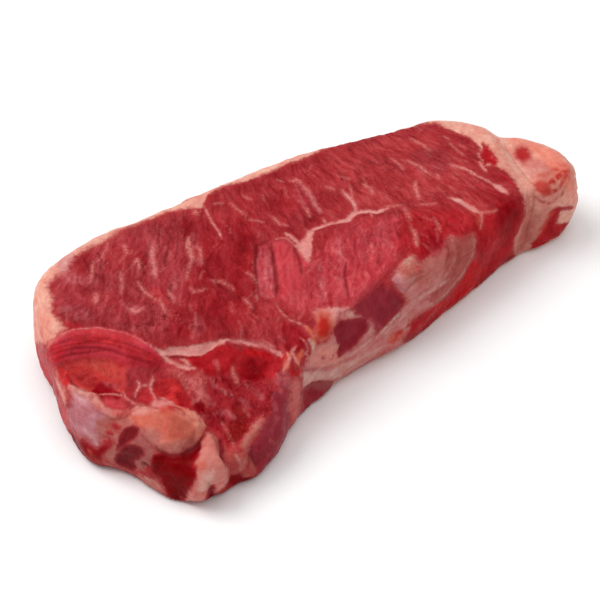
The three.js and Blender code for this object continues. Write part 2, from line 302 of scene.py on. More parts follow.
# Soft patches of colour in the lean: name, colour, strength, softness in mm, edge in pixels.
LEAN_TINTS = [
    ("eye, left", "dull", 0.8, 6.0, [
        (50, 270), (120, 228), (190, 212), (200, 250), (180, 300), (120, 335), (66, 330), (50, 300)]),
    ("eye, middle", "deep", 0.5, 7.0, [
        (205, 225), (255, 215), (258, 290), (240, 330), (200, 335), (195, 270)]),
    ("eye, crumbly", "dull", 0.5, 5.0, [(60, 285), (130, 285), (190, 320), (150, 335), (70, 325)]),
    ("eye, below the seam", "rosy", 0.75, 5.0, [
        (275, 240), (310, 262), (350, 222), (400, 218), (400, 255), (350, 305), (300, 310), (276, 298)]),
    ("eye, right", "warm", 0.8, 7.0, [
        (330, 150), (430, 130), (490, 190), (500, 215), (440, 215), (380, 210), (330, 215)]),
    ("smooth bundle", "rosy", 0.6, 1.2, [
        (274, 240), (290, 242), (298, 256), (302, 275), (300, 290), (282, 298), (276, 280)]),
    ("bundle block", "rosy", 0.45, 1.0, [
        (258, 246), (270, 242), (274, 262), (276, 285), (274, 300), (262, 298), (256, 275)]),
    ("eye, front right", "red", 0.55, 4.0, [
        (400, 215), (445, 205), (480, 215), (476, 232), (446, 236), (420, 262), (400, 250)]),
    ("eye, dark right", "deep", 0.8, 3.0, [(412, 235), (432, 225), (445, 240), (424, 262)]),
    ("right shoulder", "red", 0.8, 4.0, [
        (476, 236), (484, 217), (500, 200), (524, 205), (514, 250), (490, 275), (476, 262)]),
    ("right shoulder, dark", "deep", 0.7, 3.0, [
        (497, 205), (520, 200), (524, 212), (512, 235), (500, 235), (496, 220)]),
    ("right foot", "hot_red", 0.85, 4.0, [
        (474, 258), (488, 270), (472, 292), (440, 314), (436, 306), (450, 297), (459, 284), (466, 270)]),
    ("right foot, low", "red", 0.8, 2.0, [(410, 325), (440, 304), (446, 312), (418, 332), (404, 338)]),
    ("band", "band", 1.0, 0.8, [
        (44, 352), (48, 343), (55, 337), (63, 333), (71, 331), (84, 329), (97, 329), (111, 330),
        (126, 333), (138, 338), (147, 344), (158, 352), (166, 362), (172, 366), (150, 367), (128, 368),
        (118, 363), (104, 359), (90, 358), (73, 359), (62, 363), (55, 367), (46, 360)]),
    # Painted highlight on the band's top.
    ("band, bright top", "bright", 0.7, 1.6, [
        (70, 332), (97, 331), (126, 336), (142, 343), (120, 344), (95, 340), (70, 338)]),
    ("band, bright left", "vivid", 0.35, 1.6, [(44, 352), (56, 342), (66, 352), (60, 362), (50, 362)]),
    ("band, violet", "deep", 0.15, 1.5, [
        (60, 350), (84, 344), (104, 346), (118, 352), (100, 355), (66, 357)]),
    ("amber film", "amber", 1.0, 1.2, [
        (55, 367), (62, 363), (73, 359), (90, 358), (104, 359), (118, 363), (128, 369), (128, 380),
        (124, 392), (120, 398), (112, 390), (104, 382), (98, 386), (91, 393), (84, 392), (78, 388),
        (72, 382), (66, 374)]),
    ("chine vivid", "vivid", 0.5, 1.0, [
        (58, 366), (66, 370), (70, 380), (68, 388), (62, 384), (57, 374)]),
    ("chine dark", "deep", 1.0, 0.9, [
        (89, 394), (93, 387), (98, 382), (106, 381), (112, 384), (114, 390), (120, 392), (124, 398),
        (119, 401), (108, 399), (97, 398)]),
    ("ridge meat", "dull", 0.7, 1.2, [
        (126, 370), (150, 368), (158, 374), (152, 386), (134, 386), (126, 384)]),
    ("ridge oval", "red", 0.6, 1.0, [
        (140, 392), (146, 388), (154, 392), (157, 400), (148, 404), (138, 400)]),
    ("nose red", "bright", 1.0, 1.0, [
        (153, 386), (162, 380), (172, 379), (180, 382), (186, 390), (191, 399), (190, 408), (182, 408),
        (172, 401), (162, 398), (155, 394)]),
    ("nose red, deep", "deep", 0.8, 2.0, [(176, 392), (186, 390), (192, 400), (190, 410), (180, 404)]),
    ("lobe bright", "red", 1.0, 1.2, [
        (186, 356), (200, 352), (207, 348), (218, 345), (228, 346), (236, 350), (240, 356), (236, 362),
        (232, 367), (228, 374), (222, 372), (214, 376), (205, 374), (198, 368), (190, 366)]),
    ("lobe right", "red", 0.9, 1.2, [
        (240, 352), (246, 349), (256, 350), (266, 352), (274, 357), (275, 363), (270, 368), (266, 374),
        (263, 382), (254, 380), (246, 382), (240, 378), (236, 370)]),
    ("lobe right, dark", "dark", 0.65, 4.0, [
        (240, 364), (252, 360), (268, 362), (264, 378), (252, 384), (240, 376)]),
    ("lobe arc", "red", 0.8, 0.8, [
        (264, 374), (270, 368), (276, 360), (282, 354), (288, 350), (291, 356), (284, 360), (280, 366),
        (278, 374), (270, 380)]),
    ("lobe mottled", "deep", 0.75, 2.0, [
        (206, 378), (240, 380), (264, 382), (274, 392), (272, 412), (256, 424), (244, 440), (228, 446),
        (222, 436), (208, 430), (208, 400)]),
    ("lobe low, dark", "dark", 0.8, 1.5, [
        (236, 402), (250, 414), (244, 434), (232, 444), (224, 436), (230, 418)]),
    ("lobe face", "plum", 1.0, 0.9, [
        (268, 418), (272, 412), (272, 404), (270, 396), (275, 390), (284, 392), (288, 400), (287, 410),
        (290, 420), (293, 430), (286, 440), (278, 450), (270, 462), (262, 470), (254, 462), (252, 452),
        (253, 446), (258, 438), (262, 428)]),
    ("lobe rosy right", "film", 0.5, 1.5, [(276, 372), (290, 372), (291, 390), (284, 390), (276, 384)]),
    ("corner dark", "deep", 0.8, 1.2, [
        (284, 322), (292, 324), (302, 330), (309, 338), (306, 346), (300, 351), (292, 355), (285, 350),
        (282, 340)]),
    # Plum that stands in part for the purple-grey sheen in the hollow: painted sheen in part.
    ("cavity", "plum", 0.6, 1.0, [
        (296, 420), (300, 398), (306, 388), (314, 384), (326, 382), (344, 384), (330, 400), (310, 416)]),
    ("plum, low side", "deep", 0.6, 1.2, [
        (362, 322), (369, 324), (364, 336), (352, 350), (345, 352), (356, 334)]),
    ("tail low lean", "blood", 0.8, 1.6, [
        (530, 244), (545, 234), (563, 228), (572, 234), (545, 252), (528, 256)]),
    ("nose red, dark left", "deep", 0.6, 1.6, [
        (154, 384), (166, 381), (172, 390), (164, 397), (156, 394)]),
    ("nose red, dark top", "deep", 0.4, 1.6, [(172, 378), (184, 382), (190, 392), (182, 390)]),
    ("band, dark right", "deep", 0.6, 2.5, [(126, 349), (150, 352), (164, 361), (150, 367), (128, 364)]),
    ("plum, dark crumbs", "dark", 0.5, 1.2, [(354, 322), (362, 320), (366, 328), (358, 338), (352, 334)]),
    ("lobe top, deeper", "deep", 0.25, 4.0, [
        (186, 354), (230, 344), (270, 352), (278, 362), (262, 384), (236, 376), (200, 374)]),
    # Painted light on the left wall, lighter to make up for the shade on that side.
    ("left wall", "rosy", 0.7, 2.5, [
        (36, 345), (48, 345), (54, 366), (56, 390), (66, 410), (70, 430), (56, 430), (38, 390)]),
    ("eye patch 1", "deep", 0.5, 2.0, [
        (140, 250), (149, 254), (151, 268), (146, 276), (138, 270), (137, 260)]),
    ("eye patch 2", "meat", 0.7, 2.0, [
        (104, 246), (122, 240), (134, 250), (130, 272), (112, 276), (102, 262)]),
    ("eye patch 3", "deep", 0.4, 2.5, [(74, 258), (90, 252), (96, 264), (92, 274), (78, 274)]),
    ("eye patch 4", "deep", 0.5, 3.0, [(180, 218), (196, 222), (196, 238), (184, 240)]),
    ("eye patch 5", "deep", 0.55, 3.0, [
        (176, 308), (192, 306), (198, 322), (190, 340), (170, 338), (168, 322)]),
    ("eye patch 6", "deep", 0.4, 2.5, [(108, 290), (124, 288), (130, 300), (120, 312), (106, 306)]),
    ("eye patch 7", "red", 0.35, 2.5, [(146, 284), (162, 290), (170, 304), (160, 306), (148, 298)]),
    ("eye patch 8", "red", 0.7, 1.5, [(64, 322), (76, 321), (84, 327), (70, 330)]),
    ("eye patch 9", "deep", 0.1, 3.0, [(300, 196), (322, 190), (340, 200), (336, 216), (318, 216)]),
    ("eye patch 10", "deep", 0.2, 3.0, [(262, 196), (282, 192), (290, 206), (276, 216), (262, 212)]),
    ("eye patch 11", "dull", 0.6, 3.0, [(410, 150), (440, 150), (456, 166), (440, 178), (416, 168)]),
    ("eye patch 12", "deep", 0.4, 3.0, [(476, 182), (500, 188), (506, 200), (488, 204), (474, 194)]),
    ("plum haze", "plum", 0.55, 5.0, [
        (350, 312), (358, 296), (368, 284), (380, 282), (392, 290), (390, 304)]),
    # Painted highlight on the cavity's top rim.
    ("cavity rim", "veil", 0.7, 1.6, [
        (308, 386), (318, 383), (332, 381), (346, 381), (340, 388), (322, 391)]),
]

# Soft patches of colour in the fat, in the same way.
FAT_TINTS = [
    ("cap, orange left", "peach", 0.8, 3.0, [(34, 312), (50, 316), (52, 340), (44, 352), (30, 340)]),
    ("cap, lilac corner", "lilac", 0.55, 2.5, [(56, 258), (70, 250), (76, 258), (70, 272), (58, 274)]),
    ("tail, cream", "pink_fat", 1.0, 4.0, [(508, 150), (545, 160), (560, 168), (545, 182), (525, 172)]),
    ("tail, peach", "tail_pink", 0.85, 4.0, [
        (510, 138), (560, 150), (578, 190), (575, 208), (562, 180), (545, 164), (530, 150)]),
    ("tail front wall", "dull_fat", 0.7, 2.5, [
        (534, 215), (545, 206), (556, 208), (546, 224), (532, 246), (528, 238)]),
    ("tail red spot", "red", 0.95, 3.0, [
        (514, 148), (521, 145), (528, 147), (532, 153), (531, 160), (523, 163), (516, 159)]),
    # Painted light on the top of the sheath.
    ("sheath, pale top", "fat", 0.3, 2.0, [
        (500, 142), (520, 168), (532, 184), (530, 200), (516, 182), (500, 162)]),
    # Painted highlight on the low lump.
    ("low lump, grey", "pale", 0.5, 1.5, [(202, 470), (212, 468), (214, 480), (206, 490), (198, 486)]),
    ("low lump, spot", "orange", 0.6, 1.4, [(196, 465), (203, 462), (206, 466), (200, 471)]),
    ("clump", "dull_fat", 0.9, 1.5, [
        (397, 268), (403, 261), (410, 253), (416, 256), (421, 263), (425, 270), (418, 277), (404, 281)]),
    ("front, peach", "dull_fat", 0.8, 2.0, [(420, 262), (444, 248), (448, 262), (430, 285), (414, 282)]),
    ("front, blue", "lilac", 0.6, 2.0, [(380, 286), (396, 270), (404, 284), (402, 298), (390, 290)]),
    ("silver skin", "silver", 1.0, 1.0, [
        (446, 237), (475, 234), (475, 256), (469, 266), (463, 276), (457, 287), (449, 297), (436, 305),
        (428, 300), (438, 286), (446, 268)]),
    ("silver skin, dark", "silver", 0.8, 2.0, [
        (448, 250), (466, 246), (462, 268), (446, 290), (436, 296)]),
    ("front band, pale", "pale", 0.9, 1.5, [
        (303, 374), (330, 371), (348, 362), (366, 355), (386, 350), (366, 364), (345, 378), (320, 380),
        (304, 388)]),
    ("front band, red", "bright", 0.35, 1.2, [
        (340, 374), (364, 358), (392, 346), (400, 344), (372, 362), (348, 380)]),
    ("front orange", "orange", 0.7, 1.0, [
        (386, 341), (393, 334), (400, 330), (405, 334), (400, 341), (392, 345)]),
    ("corner orange", "orange", 0.7, 2.0, [
        (313, 316), (320, 311), (330, 312), (334, 322), (332, 336), (324, 344), (315, 340)]),
    ("corner hot", "hot_orange", 0.95, 3.0, [
        (315, 326), (320, 317), (328, 318), (331, 328), (327, 338), (318, 338)]),
    ("strip by the lilac", "dull_fat", 0.7, 1.5, [(58, 384), (66, 392), (72, 402), (66, 412), (60, 402)]),
    ("pale front", "pale", 0.5, 1.5, [
        (336, 312), (352, 310), (366, 318), (374, 330), (366, 334), (350, 316)]),
    # Painted highlights on the tops of the nose lumps, and painted shade low on the left lump.
    ("nose, left top", "seam", 0.8, 2.0, [
        (126, 408), (140, 405), (156, 406), (158, 412), (146, 416), (132, 416)]),
    ("nose, left low", "brown_fat", 0.9, 3.0, [
        (136, 430), (152, 430), (162, 434), (160, 448), (148, 448)]),
    ("nose, right top", "peach", 0.9, 1.6, [
        (168, 403), (180, 405), (198, 412), (204, 420), (196, 420), (182, 414), (170, 410)]),
    ("nose, right rim", "peach", 0.8, 2.0, [(196, 416), (206, 424), (203, 437), (194, 442), (193, 428)]),
    ("nose, middle", "nose_brown", 0.8, 4.0, [
        (166, 416), (190, 420), (192, 438), (180, 444), (164, 438)]),
    ("nose, low", "pink_fat", 0.8, 4.0, [
        (155, 442), (180, 444), (194, 440), (186, 454), (168, 458), (156, 455)]),
    ("diagonal, top", "pink", 0.6, 2.0, [(254, 422), (260, 412), (270, 416), (264, 430)]),
    ("sheath, low", "nose_brown", 0.5, 2.5, [
        (522, 214), (536, 206), (534, 222), (530, 242), (516, 252), (520, 232)]),
    ("grey membrane, low", "veil", 0.6, 3.0, [
        (126, 436), (142, 432), (156, 446), (156, 460), (140, 472), (136, 452)]),
    ("tail, red blush", "tail_red", 0.85, 1.8, [
        (533, 183), (540, 180), (547, 182), (551, 187), (552, 194), (545, 197), (537, 191)]),
    ("tail, faded blush", "tail_red", 0.3, 4.0, [
        (532, 180), (552, 172), (570, 166), (570, 186), (560, 200), (544, 206), (534, 198)]),
    ("sheath, foot", "dull", 0.4, 1.5, [
        (524, 226), (532, 222), (530, 240), (524, 250), (516, 254), (518, 240)]),
    ("small lump, red", "red", 0.35, 2.0, [
        (226, 446), (246, 448), (252, 456), (252, 472), (236, 474), (228, 462)]),
    ("front band, tan", "peach", 0.35, 2.0, [
        (312, 352), (332, 344), (346, 352), (340, 366), (318, 368), (308, 362)]),
    ("nose top, red", "tail_red", 0.55, 2.4, [
        (160, 408), (170, 405), (180, 410), (183, 416), (172, 418), (162, 415)]),
]

# Strokes of fat: name, half width in mm, and the way of each in pixels.
FAT_STROKES = [
    ("band seam", 0.42, [
        (58, 336), (71, 331), (84, 329), (97, 329), (111, 331), (126, 334), (138, 339), (147, 345),
        (158, 352)]),
    ("band join", 1.15, [(156, 349), (163, 354), (168, 360), (176, 364), (186, 367), (195, 368)]),
    ("band join, branch", 0.9, [(180, 357), (186, 361), (191, 367)]),
    ("chine edge", 0.6, [(54, 368), (56, 378), (61, 389), (66, 399), (68, 408)]),
    ("ridge left", 0.8, [(68, 385), (76, 389), (84, 391), (92, 394), (96, 398)]),
    ("ridge", 0.6, [
        (94, 396), (98, 396), (104, 395), (112, 395), (120, 396), (128, 401), (134, 405), (144, 405)]),
    ("ridge under oval", 0.75, [(97, 401), (103, 409), (112, 413), (122, 414), (131, 410)]),
    ("ridge rise", 0.45, [(118, 390), (123, 393), (125, 398), (127, 402)]),
    ("fork left", 0.6, [(137, 381), (139, 384), (139, 388), (136, 393), (135, 398)]),
    ("fork bar", 0.6, [(139, 387), (145, 386), (150, 387)]),
    ("fork right", 0.65, [(153, 376), (152, 382), (150, 387), (151, 392), (154, 397), (157, 402)]),
    ("main seam top", 0.5, [(262, 339), (268, 343), (275, 348)]),
    ("corner strand, long", 0.5, [
        (275, 302), (278, 308), (283, 315), (290, 321), (298, 323), (305, 327), (311, 334), (314, 342)]),
    ("corner strand, inner", 0.45, [(300, 337), (306, 342), (308, 350), (302, 356)]),
    ("corner strand, low", 0.7, [(296, 346), (292, 352), (295, 359), (299, 366)]),
    ("corner strand, left", 0.7, [(286, 352), (290, 358), (286, 366), (283, 372)]),
    ("corner strand, right", 0.5, [(302, 350), (308, 356), (304, 364)]),
    ("seam a", 0.62, [(204, 206), (207, 212), (210, 218), (214, 225), (219, 232), (222, 239)]),
    ("seam b, left", 1.2, [(308, 231), (316, 228), (324, 225), (332, 222), (340, 221)]),
    ("seam b, middle", 1.5, [(332, 222), (340, 221), (347, 220), (351, 216), (355, 212), (362, 211)]),
    ("seam b, right", 1.2, [(355, 212), (362, 211), (370, 211), (376, 212), (382, 210), (388, 208)]),
    ("seam b, branch", 1.05, [(356, 212), (355, 206), (352, 201), (347, 196), (342, 190)]),
    ("seam b, twig", 0.45, [(353, 203), (352, 195), (350, 186)]),
    ("seam b, hook", 0.6, [(370, 211), (372, 217)]),
    ("seam b, bud", 0.7, [(326, 224), (323, 218)]),
    ("seam b, tail", 0.62, [(298, 246), (292, 243), (287, 239), (281, 238), (276, 239)]),
    ("seam b, foot", 0.6, [(296, 246), (300, 252), (305, 258), (308, 263)]),
    ("seam b, start", 1.0, [(285, 233), (291, 237), (296, 241), (301, 244)]),
    ("seam c", 1.1, [(449, 198), (455, 199), (461, 200), (466, 203), (470, 208), (476, 211), (483, 212)]),
    ("seam c, foot", 0.55, [(481, 212), (482, 220), (480, 229)]),
    ("seam d", 0.8, [(470, 173), (476, 175), (482, 177), (487, 180), (494, 184), (500, 189), (508, 194)]),
    ("seam d, wide", 0.8, [(457, 167), (464, 168), (472, 172), (478, 175)]),
    ("seam c, wide", 1.7, [(452, 198), (460, 201), (468, 206), (477, 210)]),
    ("seam d, knot", 1.6, [(495, 184), (500, 188), (506, 192)]),
    ("cap tongue", 0.8, [(479, 162), (483, 168), (487, 172)]),
    ("cap tongue, left", 0.7, [(478, 152), (480, 158)]),
    ("fleck, cap dot", 0.5, [(491, 155), (493, 157)]),
]

# Pink wisps of marbling in the lean, in the same way.
FLECK_STROKES = [
    ("fleck 1", 1.0, [(152, 248), (153, 257)]),
    ("fleck 2", 0.9, [(153, 257), (154, 266), (155, 277)]),
    ("fleck 3", 1.15, [(188, 238), (188, 246), (190, 252), (192, 259)]),
    ("fleck 4", 0.45, [(192, 258), (190, 266), (187, 274), (186, 280)]),
    ("fleck 5", 0.6, [(195, 246), (200, 249), (201, 256), (202, 263)]),
    ("fleck 6", 0.7, [(124, 244), (126, 250), (127, 254)]),
    ("fleck 7", 0.7, [(134, 264), (137, 259), (139, 262), (139, 270)]),
    ("fleck 8", 0.6, [(93, 262), (92, 270), (91, 278)]),
    ("fleck 9", 0.5, [(97, 262), (101, 258), (106, 250), (108, 243)]),
    ("fleck 10", 0.5, [(120, 272), (121, 280), (122, 287), (121, 294)]),
    ("fleck 11", 0.55, [(138, 283), (141, 287), (146, 293), (150, 296), (157, 300)]),
    ("fleck 12", 0.55, [(159, 299), (163, 306), (166, 312)]),
    ("fleck 13", 0.5, [(168, 290), (171, 296), (174, 302)]),
    ("fleck 14", 0.8, [(96, 294), (96, 303)]),
    ("fleck 15", 0.9, [(129, 308), (136, 311), (142, 309)]),
    ("fleck 16", 0.5, [(190, 287), (194, 292), (200, 291), (206, 289)]),
    ("fleck 17", 0.62, [(212, 280), (217, 282), (222, 281), (227, 285)]),
    ("fleck 18", 1.2, [(195, 211), (197, 214)]),
    ("fleck 19", 0.5, [(214, 204), (219, 203), (223, 203)]),
    ("fleck 20", 0.5, [(230, 203), (236, 208), (242, 213), (246, 216)]),
    ("fleck 21", 0.5, [(243, 195), (247, 198), (251, 199)]),
    ("fleck 22", 0.45, [(246, 219), (254, 221), (263, 222)]),
    ("fleck 23", 0.7, [(273, 217), (277, 221), (280, 225)]),
    ("fleck 24", 0.55, [(282, 223), (287, 226)]),
    ("fleck 25", 0.8, [(290, 181), (297, 180), (302, 185)]),
    ("fleck 26", 0.6, [(302, 185), (308, 191), (313, 199), (316, 206), (320, 213)]),
    ("fleck 27", 0.55, [(306, 208), (308, 213), (310, 217)]),
    ("fleck 28", 0.5, [(277, 180), (283, 182)]),
    ("fleck 29", 0.85, [(363, 184), (367, 187), (371, 188), (373, 194)]),
    ("fleck 30", 0.8, [(416, 181), (415, 187), (417, 193), (419, 199)]),
    ("fleck 31", 0.6, [(403, 207), (406, 211), (408, 215), (411, 220)]),
    ("fleck 32", 0.9, [(411, 228), (415, 232), (416, 238), (417, 246)]),
    ("fleck 33", 0.75, [(410, 138), (417, 142), (423, 145), (430, 151)]),
    ("fleck 34", 0.8, [(407, 160), (413, 163), (419, 166), (425, 171), (430, 174)]),
    ("fleck 35", 0.5, [(449, 143), (454, 147), (458, 151), (463, 155)]),
    ("fleck 36", 0.5, [(444, 136), (450, 140)]),
    ("fleck 37", 0.55, [(247, 273), (252, 275), (255, 278), (258, 284)]),
    ("fleck 38", 0.5, [(244, 298), (248, 303), (252, 308)]),
    ("fleck 39", 0.5, [(256, 295), (257, 300)]),
    ("fleck 40", 0.45, [(228, 284), (234, 290)]),
    ("fleck 41", 0.45, [(334, 250), (340, 254)]),
    ("fleck 42", 0.45, [(371, 244), (373, 254)]),
    ("fleck 43", 0.5, [(320, 282), (322, 288)]),
    ("fleck 44", 0.45, [(434, 218), (438, 224), (440, 232)]),
    ("fleck 45", 0.5, [(437, 174), (439, 179)]),
    ("fleck 46", 0.5, [(342, 177), (350, 179)]),
    ("fleck 47", 0.5, [(326, 186), (334, 190)]),
    ("fleck, lobe top", 0.25, [(217, 362), (219, 370)]),
    ("fleck, lobe middle", 0.6, [(232, 368), (234, 376), (238, 384)]),
    ("fleck, lobe low", 0.1, [(220, 388), (223, 391), (226, 394)]),
    ("fleck, lobe foot", 0.1, [(243, 408), (246, 412), (249, 416)]),
    ("thread, lobe low", 0.15, [(222, 422), (227, 431), (231, 440), (235, 449)]),
    ("plum fork", 0.1, [(270, 440), (274, 444), (278, 440)]),
    ("plum top", 0.1, [(276, 374), (280, 379), (288, 378)]),
    ("seam c, thin end", 0.6, [(483, 212), (490, 212), (497, 210)]),
    ("seam d, pink start", 0.9, [(450, 164), (458, 167), (466, 170)]),
    ("fleck 48", 0.6, [(386, 206), (394, 206), (401, 205)]),
    ("fleck 49", 0.5, [(420, 204), (428, 205), (436, 203)]),
    ("fleck 50", 0.5, [(391, 158), (398, 163), (404, 169)]),
]

# Strokes of lean through the fat, in the same way.
LEAN_STROKES = [
    ("tail line", 0.6, [(550, 213), (558, 209), (566, 208), (573, 208)]),
    ("tail foot line", 0.7, [(554, 226), (562, 226), (570, 224)]),
    ("under lilac", 0.7, [(112, 417), (122, 415), (130, 410), (133, 408)]),
    ("chine foot", 1.3, [(86, 446), (92, 452), (98, 458)]),
    ("small streak", 0.5, [(107, 432), (112, 434)]),
    ("small streak, top", 0.5, [(113, 425), (120, 428)]),
    ("nose streak", 0.6, [(170, 411), (176, 413), (181, 416)]),
    ("plum dot 1", 0.5, [(323, 357), (325, 357)]),
    ("plum dot 2", 0.5, [(331, 357), (333, 357)]),
    ("foot pink 1", 0.7, [(408, 326), (418, 318), (428, 312)]),
    ("fork of the membrane", 0.5, [(192, 392), (194, 398)]),
]

# Painted shade in creases and gaps between bundles, some of them grooves too, in the same way.
CREASE_SHADE_STROKES = [
    ("bundle left", 0.4, [(257, 246), (256, 258), (255, 268), (257, 278), (258, 289)]),
    ("bundle right", 0.62, [(271, 243), (273, 254), (274, 264), (276, 274), (277, 284), (276, 297)]),
    ("smooth bundle right", 0.45, [(294, 248), (299, 257), (301, 266), (302, 275)]),
    ("fibre gap 1", 0.45, [(346, 262), (345, 275), (347, 286), (349, 298)]),
    ("fibre gap 4", 0.36, [(186, 228), (185, 240), (183, 252)]),
    ("fibre gap 5", 0.36, [(178, 232), (178, 246), (175, 259)]),
    ("fibre gap 6", 0.36, [(170, 238), (167, 252), (166, 266)]),
    ("fibre gap 7", 0.36, [(160, 224), (158, 240), (160, 250)]),
    ("fibre gap 8", 0.4, [(171, 283), (170, 292)]),
    ("fibre gap 9", 0.4, [(167, 296), (171, 301)]),
    ("fibre gap 10", 0.4, [(206, 268), (211, 276), (218, 284), (226, 290), (236, 300)]),
    ("fibre gap 11", 0.36, [(98, 252), (102, 262), (99, 272)]),
    ("fibre gap 12", 0.36, [(82, 256), (88, 266), (90, 274)]),
    ("fibre gap 13", 0.36, [(140, 262), (145, 272), (141, 282)]),
    ("main seam low side", 0.5, [(165, 355), (180, 356), (196, 357), (206, 352), (216, 348)]),
    ("cap gap", 0.15, [(504, 142), (508, 150), (514, 160), (520, 168), (527, 177), (532, 183)]),
    ("tail gap", 0.2, [(534, 184), (535, 200), (533, 212), (530, 224), (527, 238)]),
    ("sheath line", 0.1, [(528, 190), (526, 204), (524, 216), (519, 230), (514, 246)]),
    ("low lump crease", 0.6, [(220, 438), (223, 447), (224, 456), (228, 463)]),
    ("low lump notch", 0.7, [(208, 482), (211, 490), (213, 498)]),
    ("small lump crease", 0.45, [(249, 452), (251, 460), (247, 466)]),
    ("front crease", 0.1, [(303, 371), (314, 372), (326, 371)]),
    ("lip", 0.3, [(301, 398), (304, 390), (312, 384), (322, 382), (336, 383), (346, 379)]),
    ("silver left", 0.35, [(446, 240), (448, 254), (444, 268)]),
    ("band line 1", 0.2, [(52, 346), (70, 341), (90, 338), (110, 340), (130, 345), (150, 354)]),
    ("band line 2", 0.2, [
        (50, 351), (66, 346), (84, 343), (104, 343), (122, 347), (140, 354), (158, 361)]),
    ("band line 3", 0.2, [
        (48, 356), (64, 351), (80, 348), (98, 348), (114, 352), (130, 358), (150, 363)]),
    ("band line 4", 0.2, [(56, 359), (70, 355), (86, 353), (100, 351), (112, 350)]),
    ("band line 5", 0.2, [(84, 341), (97, 342), (110, 338)]),
    ("band line 6", 0.2, [(60, 343), (76, 337), (92, 335)]),
    ("notch", 0.8, [(142, 464), (148, 466)]),
    ("lobe gap", 0.5, [(222, 418), (225, 424)]),
    ("chine crease", 0.45, [(66, 374), (72, 383), (80, 389), (92, 393)]),
    ("nose crease", 0.5, [(156, 449), (170, 454), (184, 452), (196, 444), (203, 437)]),
    ("plum crease", 0.5, [(253, 446), (252, 456), (256, 466)]),
    ("clump crease", 0.4, [(398, 284), (406, 292), (412, 284), (424, 276)]),
]
